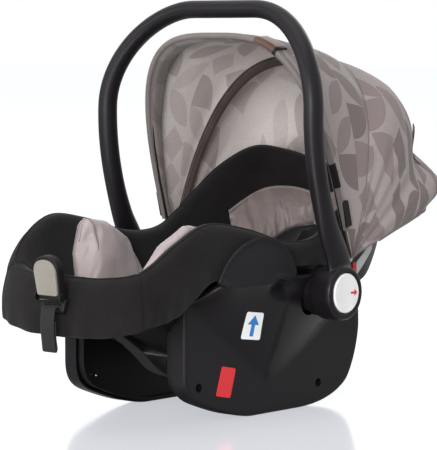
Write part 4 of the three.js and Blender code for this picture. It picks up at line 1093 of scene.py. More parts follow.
def printed_canvas(name, ground, tones, glow, cell=0.046):
    """Plain-weave canvas with a print of quarter discs, leaves and diamonds on a staggered grid.
    Each cell draws its own motif, corner and tone."""
    material, tree, shader = new_finish(name, 0.85, 0.25, 0.25)

    def math_node(operation, first, second=None, third=None):
        made = add_node(tree, "ShaderNodeMath", operation=operation)
        for socket, value in zip(made.inputs, (first, second, third)):
            if isinstance(value, (int, float)):
                socket.default_value = value
            elif value is not None:
                link(tree, value, socket)
        return made.outputs[0]

    where = add_node(tree, "ShaderNodeUVMap", uv_map="cut")
    split = add_node(tree, "ShaderNodeSeparateXYZ")
    link(tree, where.outputs["UV"], split.inputs[0])
    tall = math_node("DIVIDE", split.outputs["Y"], cell)
    row = math_node("FLOOR", tall)
    stagger = math_node("MULTIPLY", row, 0.37)
    wide = math_node("ADD", math_node("DIVIDE", split.outputs["X"], cell * 1.15), stagger)
    column = math_node("FLOOR", wide)
    pick = add_node(tree, "ShaderNodeCombineXYZ")
    link(tree, column, pick.inputs["X"])
    link(tree, row, pick.inputs["Y"])
    draw = add_node(tree, "ShaderNodeTexWhiteNoise", noise_dimensions="3D")
    link(tree, pick.outputs[0], draw.inputs["Vector"])
    chance = add_node(tree, "ShaderNodeSeparateXYZ")
    link(tree, draw.outputs["Color"], chance.inputs[0])
    x = math_node("FRACT", wide)
    y = math_node("FRACT", tall)
    flip_x = math_node("GREATER_THAN", chance.outputs["X"], 0.5)
    flip_y = math_node("GREATER_THAN", chance.outputs["Y"], 0.5)
    x = math_node("ABSOLUTE", math_node("SUBTRACT", flip_x, x))
    y = math_node("ABSOLUTE", math_node("SUBTRACT", flip_y, y))

    def length(first, second):
        squares = [math_node("MULTIPLY", value, value) for value in (first, second)]
        return math_node("SQRT", math_node("ADD", *squares))

    near = length(x, y)
    far = length(math_node("SUBTRACT", 1, x), math_node("SUBTRACT", 1, y))
    quarter = math_node("LESS_THAN", near, 0.96)
    leaf = math_node("MULTIPLY", math_node("LESS_THAN", near, 1.0), math_node("LESS_THAN", far, 1.0))
    from_centre_x = math_node("ABSOLUTE", math_node("SUBTRACT", x, 0.5))
    from_centre_y = math_node("ABSOLUTE", math_node("SUBTRACT", y, 0.5))
    middle = math_node("ADD", from_centre_x, from_centre_y)
    diamond = math_node("LESS_THAN", middle, 0.5)
    kind = draw.outputs["Value"]
    is_quarter = math_node("LESS_THAN", kind, 0.42)
    is_diamond = math_node("GREATER_THAN", kind, 0.74)
    is_leaf = math_node("SUBTRACT", math_node("SUBTRACT", 1, is_quarter), is_diamond)
    shape = math_node(
        "ADD",
        math_node("ADD", math_node("MULTIPLY", quarter, is_quarter), math_node("MULTIPLY", leaf, is_leaf)),
        math_node("MULTIPLY", diamond, is_diamond),
    )
    tone = add_node(tree, "ShaderNodeValToRGB")
    tone.color_ramp.interpolation = "CONSTANT"
    stops = tone.color_ramp.elements
    for place, colour in zip((0.0, 0.3, 0.62, 0.9), (*tones, ground)):
        stop = stops[0] if place == 0 else stops[1] if place == 0.3 else stops.new(place)
        stop.position = place
        stop.color = (*colour, 1)
    link(tree, chance.outputs["Z"], tone.inputs["Fac"])
    inked = add_node(tree, "ShaderNodeMix", data_type="RGBA")
    inked.inputs["A"].default_value = (*ground, 1)
    link(tree, shape, inked.inputs["Factor"])
    link(tree, tone.outputs["Color"], inked.inputs["B"])
    object_place = add_node(tree, "ShaderNodeTexCoord").outputs["Object"]
    mottle = texture(tree, object_place, "Noise", Scale=420, Detail=3, Roughness=0.7)
    shade = add_node(tree, "ShaderNodeMapRange")
    shade.inputs["From Min"].default_value = 0.3
    shade.inputs["From Max"].default_value = 0.7
    shade.inputs["To Min"].default_value = 0.9
    shade.inputs["To Max"].default_value = 1.08
    link(tree, mottle.outputs["Fac"], shade.inputs["Value"])
    cloth = add_node(tree, "ShaderNodeVectorMath", operation="SCALE")
    link(tree, inked.outputs["Result"], cloth.inputs[0])
    link(tree, shade.outputs["Result"], cloth.inputs["Scale"])
    link(tree, cloth.outputs[0], shader.inputs["Base Color"])
    warp = texture(tree, where.outputs["UV"], "Wave", bands_direction="X", Scale=260, Distortion=0.7)
    weft = texture(tree, where.outputs["UV"], "Wave", bands_direction="Y", Scale=260, Distortion=0.7)
    weave = math_node("MULTIPLY", warp.outputs["Fac"], weft.outputs["Fac"])
    relief = fine_relief(tree, weave, shader, 0.35, 0.0003)
    through = add_node(tree, "ShaderNodeBsdfTranslucent")
    link(tree, cloth.outputs[0], through.inputs["Color"])
    link(tree, relief.outputs["Normal"], through.inputs["Normal"])
    thin = add_node(tree, "ShaderNodeMixShader", Fac=glow)
    link(tree, shader.outputs[0], thin.inputs[1])
    link(tree, through.outputs[0], thin.inputs[2])
    link(tree, thin.outputs[0], tree.nodes["Material Output"].inputs["Surface"])
    return material


greige = (0.385, 0.335, 0.325)
canvas_tones = ((0.205, 0.16, 0.16), (0.275, 0.22, 0.22), (0.235, 0.185, 0.185))
lining_tones = ((0.6, 0.53, 0.51), (0.68, 0.61, 0.59), (0.73, 0.665, 0.645))
facing_tones = ((0.07, 0.056, 0.058), (0.09, 0.074, 0.074), (0.15, 0.128, 0.124))
canvas = printed_canvas("printed_canvas", greige, canvas_tones, 0.25)
lining = printed_canvas("canvas_lining", (0.8, 0.75, 0.73), lining_tones, 0.38)
dark_canvas = printed_canvas("facing_canvas", (0.115, 0.096, 0.093), facing_tones, 0.05)
# The canopy's canvas drawn unprinted and far darker: painted shade where it rolls away from the light at the
# edges, used too for the rear hem, the seam cord and the hem stitches.
shaded_canvas = satin("shaded_canvas", (0.12, 0.103, 0.098), (0.165, 0.143, 0.137), roughness=0.8)
brown_binding = satin("brown_binding", (0.024, 0.015, 0.013), (0.046, 0.03, 0.026), roughness=0.75)
lean_way = np.radians(np.linspace(0, 90, 91))
side_arch = canopy_point(middle_angle, np.degrees(lean_way))
arch_run = run_along(side_arch)
arch_view = np.arctan2(side_arch[:, 0], np.hypot(side_arch[:, 1] - fan_y, side_arch[:, 2] - fan_z))


def lay_flat(piece, flat):
    """Keeps each point's place on the cut cloth, in metres, for the weave and print."""
    layer = piece.data.uv_layers.new(name="cut")
    corners = np.zeros(len(piece.data.loops), int)
    piece.data.loops.foreach_get("vertex_index", corners)
    layer.data.foreach_set("uv", flat[corners].astype(np.float32).ravel())


def lay_print(piece):
    """Flattens the canopy's cloth for its print: length over the arch, and length round the fan."""
    points = np.array([v.co for v in piece.data.vertices]) * 1000 + (0, origin_y, 0)
    r = np.hypot(points[:, 1] - fan_y, points[:, 2] - fan_z)
    swing = np.arctan2(points[:, 1] - fan_y, points[:, 2] - fan_z)
    over = np.interp(np.arctan2(np.abs(points[:, 0]), r), arch_view, arch_run) * np.sign(points[:, 0])
    lay_flat(piece, np.stack([over + 1500, swing * np.maximum(r, 90) + 1500], 1) * 0.001)


def bell(value, middle, width):
    return np.exp(-(((value - middle) / width) ** 2))


def hem_angle(turn):
    return hem_middle + (hem_side - hem_middle) * np.abs(turn) / 90


def front_edge(turns):
    """Line in metres along the middle of the canopy's rolled front edge."""
    return placed(canopy_point(front_angle - 0.1, turns, 1.5))


def canopy_slack(angle, turn):
    """How far the cloth stands in from its even shape: hollow between bows, pulled in under the
    strap, blown out below it, with gathers that run out from both."""
    between = np.where(angle < middle_angle, (angle - front_angle) / 36.5, (angle - middle_angle) / 26)
    hollow = 2.2 * np.sin(np.pi * np.clip(between, 0, 1)) * (1 - bell(turn, 0, 25) * 0.3)
    strap = np.abs(turn) - 42
    from_hem = hem_angle(turn) - angle
    dent = 20 * bell(angle, 53.5, 8.5) * bell(turn, 0, 62) + 8 * bell(angle, 56, 6) * bell(strap, 0, 12)
    shoulder = -9 * bell(angle, 28, 12) * bell(np.abs(turn), 46, 26)
    pocket = -9 * bell(from_hem, 8, 4.5) * bell(turn, 0, 60) + 21 * bell(from_hem, 0, 3.2) * bell(turn, 0, 66)
    gathers = 2.2 * np.sin(turn * 0.62) * bell(angle, 67, 8) * bell(turn, 0, 58)
    fan = 1.4 * np.sin(np.radians(angle) * 34) * bell(np.abs(turn), 76, 13) * (angle > 22)
    every_spot = zip(angle.ravel(), turn.ravel())
    soft = np.array([noise.noise(Vector((a * 0.05, t * 0.035, 7.3))) for a, t in every_spot])
    ease = np.clip(np.minimum(np.abs(angle - middle_angle), np.abs(angle - front_angle)) / 6, 0, 1)
    return (hollow + dent + shoulder + pocket + gathers + fan + 1.6 * soft.reshape(angle.shape)) * ease


arch_turns = np.linspace(-90, 90, 181)
front_rows = np.linspace(0, 1, 42)[:, None]
rear_rows = np.linspace(0, 1, 78)[:, None]
front_angles = front_angle + (middle_angle - 0.12 - front_angle) * front_rows + 0 * arch_turns
rear_angles = middle_angle + 0.12 + (hem_angle(arch_turns) - middle_angle - 0.12) * rear_rows
canopy_cloth = {}
for name, angles in (("canopy_front_canvas", front_angles), ("canopy_rear_canvas", rear_angles)):
    turns = np.broadcast_to(arch_turns, angles.shape)
    slack = canopy_slack(angles, turns)
    sheets = [placed(canopy_point(angles, turns, slack + inset)) for inset in (0, 1.4)]
    canopy_cloth[name] = grid_mesh(name, sheets, materials=[canvas, lining])
    lay_print(canopy_cloth[name])
    canopy_cloth[name]
front_canvas = canopy_cloth["canopy_front_canvas"]
rear_canvas = canopy_cloth["canopy_rear_canvas"]

facing_profile = [(-17.4, 2), (-17.2, 7), (-16.6, 10.2), (-15, 11), (-13, 10.4), (-11.6, 6.6), (-10.9, 2.4)]
facing_fine = flowing([(a, d, 0) for a, d in facing_profile], np.linspace(0, 1, 22))
facing_angles = facing_fine[:, 0:1] + 0 * arch_turns
facing_depths = facing_fine[:, 1:2] + 0 * arch_turns
facing = grid_mesh(
    "canopy_facing",
    [
        placed(canopy_point(facing_angles, arch_turns + 0 * facing_angles, facing_depths + inset))
        for inset in (0, 1)
    ],
    materials=[dark_canvas],
)
lay_print(facing)
edge_turns = np.linspace(-88, 88, 170)
# The rolled front edge is the same canvas in shadow, drawn in the darkened canvas as painted shade.
front_roll = tube("canopy_front_roll", front_edge(edge_turns), 0.0042, shaded_canvas, 12)
hem_angles = hem_angle(edge_turns)
hem_depths = canopy_slack(hem_angles, edge_turns) + 1
hem_line = placed(canopy_point(hem_angles, edge_turns, hem_depths))
rear_roll = tube("canopy_rear_hem", hem_line, 0.0026, shaded_canvas, 10)
seam_cords = [
    tube(name, placed(canopy_point(middle_angle + shift, edge_turns, depth)), radius, material, 8)
    for name, shift, depth, radius, material in (
        ("canopy_seam_cord", 0, 0.1, 0.0009, shaded_canvas),
        ("canopy_binding_front", -0.75, 3.2, 0.0017, brown_binding),
        ("canopy_binding_rear", 0.75, 3.2, 0.0017, brown_binding),
    )
]
sleeve_line = placed(canopy_point(middle_angle, np.linspace(-84, 84, 150), 10.2))
sleeve = tube("middle_bow_sleeve", sleeve_line, 0.0055, brown_binding, 14)
edge_sleeve = tube("canopy_edge_sleeve", front_edge(np.linspace(75.6, 81, 14)), 0.0056, black_knit, 14)
for piece in (facing, front_roll, edge_sleeve):
    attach(piece, "canopy_front")
for cord_piece in (*seam_cords, sleeve):
    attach(cord_piece, "canopy_middle")
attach(rear_roll, "seat")
for bow in ("canopy_front_bow", "canopy_middle_bow"):
    dress(bow, black_plastic)
for _, hand in both_sides:
    dress("canopy_clip_" + hand, black_plastic)
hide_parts("canopy_front_panel")
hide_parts("canopy_rear_panel")
front_line, middle_line, hem_place = (
    placed(canopy_point(angle, 0) * (0, 1, 1)) for angle in (front_angle, middle_angle, hem_middle)
)
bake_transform(front_canvas)
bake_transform(rear_canvas)


# The leather tabs: one on the front edge, wrapped round it and ending in a black loop, and one that
# straps the back in. Each has two rows of stitches.
leather = satin("brown_leather", (0.055, 0.026, 0.016), (0.1, 0.05, 0.032), roughness=0.45)


def stitched(name, line, material, pitch=0.0034, thickness=0.00042):
    """Row of stitches along a line in metres, each a small bead of thread."""
    tree, start, curve, gap = line_tree(name + "_row", "Pitch")
    spots = add_node(tree, "GeometryNodeCurveToPoints", mode="LENGTH")
    stitch = add_node(tree, "GeometryNodeMeshUVSphere", Segments=8, Rings=6, Radius=1)
    shape = add_node(tree, "GeometryNodeTransform")
    shape.inputs["Scale"].default_value = (thickness, thickness, pitch * 0.36)
    repeat = add_node(tree, "GeometryNodeInstanceOnPoints")
    link(tree, curve.outputs[0], spots.inputs[0])
    link(tree, start.outputs["Pitch"], spots.inputs["Length"])
    link(tree, spots.outputs["Points"], repeat.inputs["Points"])
    link(tree, spots.outputs["Rotation"], repeat.inputs["Rotation"])
    link(tree, stitch.outputs["Mesh"], shape.inputs["Geometry"])
    link(tree, shape.outputs["Geometry"], repeat.inputs["Instance"])
    return grown_along(name, line, tree, repeat.outputs["Instances"], gap, pitch, material)


def canopy_patch(name, angles, turns, slack, rise, thick, material):
    """Plate lying on the canopy between two angles and two turns, with softly crowned faces."""
    a, t = np.meshgrid(np.linspace(*angles, 25), np.linspace(*turns, 25), indexing="ij")
    edge = np.minimum(1, 6 * np.minimum(np.linspace(0, 1, 25), np.linspace(1, 0, 25)))
    crown = 0.5 * np.sqrt(edge[:, None] * edge[None])
    base = slack(a, t) if slack else 0 * a
    top = canopy_point(a, t, base - rise - thick - crown)
    sheets = [placed(top), placed(canopy_point(a, t, base - rise))]
    return grid_mesh(name, sheets, materials=[material])


tabs = {
    "front": ((-17.6, -13.2), (15, 27), (27, 28.6), None, "canopy_front", "canopy_front_tab"),
    "rear": ((45, 59), (40.4, 44.2), None, canopy_slack, "seat", "canopy_rear_tab"),
}
thread = satin("pale_thread", (0.3, 0.22, 0.16), (0.4, 0.3, 0.23), roughness=0.8)
for where, (angles, turns, tail, slack, body, solid) in tabs.items():
    tab = canopy_patch("leather_tab_" + where, angles, turns, slack, 2.4, 1.3, leather)
    pieces = [tab]
    if where == "rear":
        rows = [[(a, t) for a in np.linspace(45.6, 58.4, 30)] for t in (40.9, 43.7)]
    else:
        rows = [[(a, t) for t in np.linspace(15.6, 26.5, 30)] for a in (-16.9, -13.9)]
        pieces.append(canopy_patch("tab_end_" + where, (-17.2, -13.6), tail, slack, 2, 2.2, black_plastic))
        pieces.append(tube("leather_wrap", front_edge(np.linspace(*turns, 30)), 0.0054, leather, 16))
        pieces.append(tube("leather_wrap_end", front_edge(np.linspace(*tail, 8)), 0.006, black_plastic, 16))
    for k, row in enumerate(rows):
        a, t = np.array(row).T
        depth = (slack(a, t) if slack else 0) - 4.15
        pieces.append(stitched(f"tab_stitches_{where}_{k}", placed(canopy_point(a, t, depth)), thread))
    for piece in pieces:
        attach(piece, body)
    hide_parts(solid)
hem_turns = np.linspace(-86, 86, 300)
stitch_depths = canopy_slack(0 * hem_turns - 12.4, hem_turns) - 0.1
stitch_line = placed(canopy_point(-12.4, hem_turns, stitch_depths))
hem_row = stitched("canopy_hem_stitches", stitch_line, shaded_canvas)
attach(hem_row, "canopy_front")

# ---- Handle and hubs ----
# A moulded carry handle: a tall arch of oval section that swells into a drum at each hub.
# Root fillets come from a fine remesh. White release buttons sit in the drums.
hub_in, hub_out, web_in, web_out = 172.4, 209, 183, 187.5
pin_ring, pin_hole = 14.5, 3.6


def smooth_rise(value, low, high):
    u = np.clip((np.asarray(value, float) - low) / (high - low), 0, 1)
    return u * u * (3 - 2 * u)


def evenly(line, count):
    """The same line through count points at an equal run apart."""
    run = run_along(line)
    spots = np.linspace(0, run[-1], count)
    return np.stack([np.interp(spots, run, line[:, k]) for k in range(3)], 1)


def handle_middle(count):
    """Middle line of the whole handle, from the left hub over the top to the right one."""
    straight = 396.5 - 141
    rise = 14 + (straight - 14) * np.arange(count) / count
    turn = np.pi / 2 * np.arange(count + 1) / count
    bend = 195 - 136 + 136 * np.clip(np.cos(turn), 0, 1) ** 1.05
    x = np.r_[196 - rise / straight, bend, np.linspace(50, 0, 12)]
    rise = np.r_[rise, straight + 141 * np.sin(turn) ** 1.05, np.full(12, 396.5)]
    lean = hub_y + 20 - 0.589 * rise + 9.15e-4 * rise**2 + 7.8e-7 * rise**3
    half = np.stack([x, hub_y + (lean - hub_y) * smooth_rise(rise, 0, 90), hub_z + rise], 1)
    line = evenly(np.concatenate([half, half[-2::-1] * (-1, 1, 1)]), 420)
    for _ in range(6):
        line[1:-1] = (line[:-2] + 2 * line[1:-1] + line[2:]) / 4
    return line


def swept_tube(name, line, out_way, half_sizes, sides=40):
    """Closed tube of oval section along a line in mm; half_sizes gives its two half widths."""
    along = unit(np.gradient(line, axis=0))
    out = unit(out_way - along * np.sum(out_way * along, axis=1, keepdims=True))
    across = np.cross(along, out)
    ring = 2 * np.pi * np.arange(sides) / sides
    broad, thick = half_sizes
    rings = (
        line[:, None]
        + across[:, None] * (broad[:, None] * np.cos(ring))[..., None]
        + out[:, None] * (thick[:, None] * np.sin(ring))[..., None]
    )
    points = placed(rings.reshape(-1, 3))
    faces = []
    for i in range(len(line) - 1):
        for j in range(sides):
            k = (j + 1) % sides
            faces.append((i * sides + j, i * sides + k, (i + 1) * sides + k, (i + 1) * sides + j))
    faces.append(tuple(range(sides))[::-1])
    faces.append(tuple((len(line) - 1) * sides + j for j in range(sides)))
    mesh = bpy.data.meshes.new(name)
    mesh.from_pydata(points.tolist(), [], faces)
    work = bmesh.new()
    work.from_mesh(mesh)
    bmesh.ops.recalc_face_normals(work, faces=work.faces)
    work.to_mesh(mesh)
    work.free()
    return in_scene(name, mesh)


handle_line = handle_middle(60)
handle_rise = handle_line[:, 2] - hub_z
handle_flare = 1 - smooth_rise(handle_rise, 10, 150)
handle_out = np.stack([handle_line[:, 0] / 197, 0 * handle_rise, np.maximum(0, handle_rise - 180) / 200], 1)
handle = swept_tube(
    "carry_handle", handle_line, handle_out, (15.5 + 9 * handle_flare, 12.8 - 4.8 * handle_flare)
)
drum_profile = [
    (6, web_out),
    (28.9, web_out),
    (28.9, hub_out - 1),
    (29.4, hub_out),
    (33.4, hub_out),
    (36.2, hub_out - 1),
    (38, hub_out - 3.4),
    (38.5, hub_out - 6.5),
    (38.5, hub_in + 1.5),
    (37, hub_in),
    (27.8, hub_in),
    (27.8, web_in),
    (6, web_in),
    (6, web_out),
]
bore_profile = [(0, 150), (33, 150), (33, 230), (0, 230)]
cut_away(handle, [turned_mesh("bore", bore_profile, hub_y, hub_z, side=s) for s in (1, -1)])
drums = [turned_mesh("drum", drum_profile, hub_y, hub_z, 96, s) for s in (1, -1)]
pin_hole_profile = [(0, web_in - 2), (pin_hole, web_in - 2), (pin_hole, web_out + 2), (0, web_out + 2)]
pin_turns = [math.radians(a) for a in (90, 210, 330)]
pin_spots = [(hub_y + pin_ring * math.cos(a), hub_z + pin_ring * math.sin(a)) for a in pin_turns]
for drum, s in zip(drums, (1, -1)):
    cut_away(drum, [turned_mesh("pin_hole", pin_hole_profile, y, z, 20, s) for y, z in pin_spots])
handle = joined([handle, *drums])
remesh = handle.modifiers.new("fillets", "REMESH")
remesh.mode = "VOXEL"
remesh.voxel_size = 0.0016
soften = handle.modifiers.new("soften", "SMOOTH")
soften.factor = 0.5
soften.iterations = 5
keep_result(handle)
one_material(handle, charcoal_plastic)
smooth(handle.data)
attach(handle, "handle")
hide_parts("handle")

white_plastic = moulded_plastic("white_button", (0.78, 0.77, 0.78), 0.34, grain=1200, depth=0.00006)
steel = moulded_plastic("zinc_steel", (0.42, 0.42, 0.43), 0.3, grain=1400, depth=0.00004, spread=0.09)
steel.node_tree.nodes["Principled BSDF"].inputs["Metallic"].default_value = 1.0
red_plastic = moulded_plastic("red_moulding", (0.42, 0.012, 0.016), 0.36)
grey_plastic = moulded_plastic("grey_moulding", (0.2, 0.188, 0.165), 0.5)
steel_names = [
    "panel_screw_front_", "panel_screw_rear_", "hub_spring_", "lock_gear_", "pivot_bolt_", "canopy_pin_",
]
spring_seat, spring_keep = 0.161, 0.55
for side, hand in both_sides:
    for name in steel_names:
        dress(name + hand, steel)
    # The coil shortens as its button pushes the lock gear in; here it only gets a mesh of its own.
    gear_slide = "lock_gear_" + hand + "_slide"
    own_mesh(node["hub_spring_" + hand], gear_slide, (1, 0, 0), (side * spring_seat, 0, 0), keep=spring_keep)
    dress("hub_button_" + hand, white_plastic)
    dress("buckle_tongue_" + hand, steel)
for name in ("strap_yoke", "crotch_anchor", "adjuster_pin"):
    dress(name, steel)
dress("buckle", black_plastic)
dress("buckle_button", red_plastic)

# ---- Labels ----
# Thin printed films on the left side: a pale one with a plain blue arrow, a blank grey one, a red
# one and a red lap belt mark, and a red arrow on each release button. None carries words.


def film(name, colour):
    return moulded_plastic(name, colour, 0.4, grain=500, depth=0.00003)


def on_surface(tree, quad, u, v, lift, side=1):
    """Place (u, v) of a four-cornered patch in Y and Z, thrown onto the surface from the side."""
    a, b, c, d = (np.array(corner, float) for corner in quad)
    y, z = (1 - v) * ((1 - u) * d + u * c) + v * ((1 - u) * a + u * b)
    start = Vector(placed((side * 260, y, z)))
    hit, normal = tree.ray_cast(start, Vector((-side, 0, 0)), 0.3)[:2]
    if hit is None:
        hit, normal = tree.find_nearest(Vector(placed((side * 160, y, z))))[:2]
    return hit + normal * lift * 0.001


def stuck_film(name, tree, quad, outline, lift, thick, material, side=1, pitch=0.07):
    """Thin plate over an outline in the patch's own 0 to 1 frame, following the surface."""
    outline = even_outline(outline, pitch / 2, 0)
    low, high = outline.min(0), outline.max(0)
    grid = [(u, v) for u in np.arange(low[0], high[0], pitch) for v in np.arange(low[1], high[1], pitch)]
    grid = np.array(grid)[inside(np.array(grid), outline)]
    grid = grid[distance_to(grid, outline) > pitch * 0.4] if len(grid) else grid.reshape(0, 2)
    flat = [Vector(p) for p in [*outline.tolist(), *grid.tolist()]]
    loop = [(i, (i + 1) % len(outline)) for i in range(len(outline))]
    made = geometry.delaunay_2d_cdt(flat, loop, [], 1, 1e-6)
    points = [on_surface(tree, quad, p[0], p[1], lift, side) for p in made[0]]
    mesh = bpy.data.meshes.new(name)
    mesh.from_pydata(points, [], [tuple(f) for f in made[2]])
    work = bmesh.new()
    work.from_mesh(mesh)
    if sum(f.normal.x for f in work.faces) * side < 0:
        bmesh.ops.reverse_faces(work, faces=work.faces)
    work.to_mesh(mesh)
    work.free()
    mesh.materials.append(material)
    made = in_scene(name, mesh)
    thicken = made.modifiers.new("film", "SOLIDIFY")
    thicken.thickness = thick * 0.001
    thicken.offset = -1
    keep_result(made)
    return made


rounded = [(0.06, 0), (0.94, 0), (1, 0.04), (1, 0.96), (0.94, 1), (0.06, 1), (0, 0.96), (0, 0.04)]
arrow = [(0.4, 0.12), (0.6, 0.12), (0.6, 0.55), (0.82, 0.55), (0.5, 0.9), (0.18, 0.55), (0.4, 0.55)]
panel_tree = surface_tree(panels[1])
shell_tree = surface_tree(shell)
white_film = film("white_film", (0.8, 0.82, 0.84))
blue_film = film("blue_print", (0.035, 0.19, 0.5))
red_film = film("red_film", (0.62, 0.035, 0.04))
grey_film = film("pale_grey_film", (0.55, 0.55, 0.56))
arrow_quad = ((-44, 153), (-13, 149), (-3, 109), (-35, 113))
red_quad = ((-64, 77), (-35, 71), (-47, 31), (-77, 37))
blank_quad = ((189, 206), (238, 238), (238, 221), (191, 186))
belt_quad = ((178, 206), (187, 206), (193, 182), (184, 180))
films = [
    stuck_film("arrow_label", panel_tree, arrow_quad, rounded, 0.5, 0.4, white_film),
    stuck_film("arrow_print", panel_tree, arrow_quad, arrow, 0.65, 0.4, blue_film),
    stuck_film("red_label", panel_tree, red_quad, rounded, 0.5, 0.4, red_film),
    stuck_film("blank_label", shell_tree, blank_quad, rounded, 0.6, 0.4, grey_film),
    stuck_film("belt_mark", shell_tree, belt_quad, rounded, 0.9, 0.6, red_film),
]
for patch in films:
    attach(patch, "seat")
for side, hand in both_sides:
    button_tree = surface_tree(node["hub_button_" + hand])
    near_y, far_y = hub_y + 25, hub_y + 6
    button_quad = ((near_y, hub_z + 8), (near_y, hub_z - 8), (far_y, hub_z - 8), (far_y, hub_z + 8))
    button_arrow = stuck_film(
        "button_arrow_" + hand, button_tree, button_quad, arrow, 0.12, 0.3, red_film, side
    )
    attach(button_arrow, "hub_button_" + hand)

# ---- Harness ----
# Black polyester webbing: two shoulder straps from a yoke under the seat, over the back and down
# to the buckle's tongues, padded sleeves on them, a crotch strap, and the adjuster's pull strap.
pad_top = pad_base + 20
buckle_lean = math.radians(32)
buckle_place = np.array([0, -17, float(floor_height(-17)) + pad_top + 31])


def webbing(name, dark, light):
    """Ribbed twill webbing: fine cross threads between lengthwise edge ribs."""
    material, tree, shader = new_finish(name, 0.7, 0.22, 0.04)
    where = add_node(tree, "ShaderNodeUVMap", uv_map="cut").outputs["UV"]
    cross = texture(tree, where, "Wave", bands_direction="Y", Scale=170, Distortion=0.4)
    ribs = texture(tree, where, "Wave", bands_direction="X", Scale=90, Distortion=0.2)
    wear = texture(tree, where, "Noise", Scale=90, Detail=3)
    two_tones(tree, wear.outputs["Fac"], shader, dark, light)
    height = add_node(tree, "ShaderNodeMath", operation="MULTIPLY_ADD")
    height.inputs[1].default_value = 0.5
    link(tree, ribs.outputs["Fac"], height.inputs[0])
    link(tree, cross.outputs["Fac"], height.inputs[2])
    fine_relief(tree, height.outputs[0], shader, 0.6, 0.0004)
    return material


black_webbing = webbing("black_webbing", (0.006, 0.006, 0.0065), (0.017, 0.0165, 0.018))


def on_floor(x, y, lift):
    lean = math.atan(float(floor_height(y + 1) - floor_height(y - 1)) / 2)
    return np.array([x, y - lift * math.sin(lean), float(floor_height(y)) + lift * math.cos(lean)])


def in_buckle(u, v, n):
    c, s = math.cos(buckle_lean), math.sin(buckle_lean)
    return np.array([u, v * c - n * s, v * s + n * c]) + buckle_place


def strap_line(knots, steps):
    return evenly(flowing(knots, np.linspace(0, 1, 20 * len(knots))), steps + 1)


def band(name, line, width, thick, material, puff=0, across=12):
    """Flat strap along a line in mm, level across. puff swells it, and fades towards its ends."""
    along = unit(np.gradient(line, axis=0))
    sideways = unit(np.array([1.0, 0, 0]) - along * along[:, :1])
    out = np.cross(sideways, along)
    u = np.linspace(-1, 1, across + 1)
    share = np.linspace(0, 1, len(line))[:, None]
    half = thick / 2 * (np.clip(1 - u**8, 0, 1) ** 0.5 * 0.6 + 0.4)[None]
    fading = np.clip(np.minimum(share, 1 - share) * 9, 0, 1) ** 0.5
    half = half + puff * np.clip(1 - u**4, 0, 1)[None] * fading
    face = line[:, None] + sideways[:, None] * (width / 2 * u)[None, :, None]
    sheets = [placed(face + out[:, None] * half[..., None]), placed(face - out[:, None] * half[..., None])]
    made = grid_mesh(name, sheets, materials=[material])
    points = np.array([v.co for v in made.data.vertices])
    run = run_along(line) * 0.001
    centre = placed(line)
    batch = 400
    flat = []
    for first in range(0, len(points), batch):
        some = points[first : first + batch]
        nearest = np.argmin(np.linalg.norm(some[:, None] - centre[None], axis=2), axis=1)
        over = np.sum((some - centre[nearest]) * sideways[nearest], axis=1)
        flat.append(np.stack([over, run[nearest]], 1))
    lay_flat(made, np.concatenate(flat))
    return made


shoulder_knots = [
    on_floor(16, 47, -20),
    on_floor(16, 47, -10),
    on_floor(18, 58, -8),
    on_floor(21, 76, -9),
    on_floor(26, 100, -12),
    on_floor(34, 150, -13),
    on_floor(38, 185, -17),
    on_floor(38, 200, -18),
    on_floor(38, 205, -12),
    on_floor(38, 205, -2),
    on_floor(38, 205, 8),
    on_floor(38, 205, pad_top - 1),
    on_floor(38, 201, pad_top + 5),
    on_floor(38, 185, pad_top + 7),
    on_floor(36, 150, pad_top + 5),
    on_floor(31, 90, pad_top + 6),
    on_floor(25, 30, pad_top + 16),
    in_buckle(18, 64, 13),
    in_buckle(18, 49, 12),
    in_buckle(18, 43.5, 9.5),
    in_buckle(18, 43, 6),
    in_buckle(18, 43, 0),
]
shoulder_line = strap_line(shoulder_knots, 260)
above_seat = shoulder_line[:, 2] > floor_height(shoulder_line[:, 1]) + pad_top
for side, hand in both_sides:
    flip = (side, 1, 1)
    strap = band("shoulder_webbing_" + hand, shoulder_line * flip, 25, 1.6, black_webbing)
    on_chest = above_seat & (shoulder_line[:, 1] > 92) & (shoulder_line[:, 1] < 172)
    pad = band("shoulder_sleeve_" + hand, shoulder_line[on_chest] * flip, 46, 7, black_knit, 1.6, 24)
    for piece in (strap, pad):
        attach(piece, "seat")
    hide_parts("shoulder_strap_" + hand)
    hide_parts("shoulder_pad_" + hand)

crotch_y = -62
crotch_knots = [
    on_floor(0, crotch_y, -14.6),
    on_floor(0, crotch_y, -2),
    on_floor(0, crotch_y, pad_top - 6),
    on_floor(0, crotch_y, pad_top + 4),
    in_buckle(0, -37, 7.8),
    in_buckle(0, -30, 8),
    in_buckle(0, -18, 8),
]
crotch = band("crotch_webbing", strap_line(crotch_knots, 60), 25, 1.6, black_webbing)
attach(crotch, "seat")
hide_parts("crotch_strap")

# ---- Front adjuster ----
# A grey thumb paddle in a thick black surround on the foot end. The pull strap comes out below it
# and hangs in a short sewn loop.
pull_knots = [
    on_floor(0, 33, -9),
    on_floor(0, 32.6, -19),
    on_floor(0, 18, -21),
    on_floor(0, -20, -22),
    on_floor(0, crotch_y, -26),
    on_floor(0, -110, -15),
    on_floor(0, -160, -12),
    (0, -205, 132),
    (0, -238, 150),
    on_adjuster(0, -9.5, -30),
    on_adjuster(0, -9.5, -16),
    on_adjuster(0, -9.5, -1),
    on_adjuster(0, -12.5, 6),
    (0, -287, 160),
    (0, -288, 140),
    (0, -285, 112),
]
pull = band("pull_strap", strap_line(pull_knots, 200), 25, 1.6, black_webbing)
pull_fold_knots = [(0, -285, 112), (0, -283.4, 108.8), (0, -281.4, 112), (0, -283.6, 128), (0, -284.6, 150)]
pull_fold = band("pull_strap_fold", strap_line(pull_fold_knots, 50), 25, 1.6, black_webbing)
for piece in (pull, pull_fold):
    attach(piece, "seat")
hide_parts("adjuster_strap")

paddle_lean = math.radians(10)


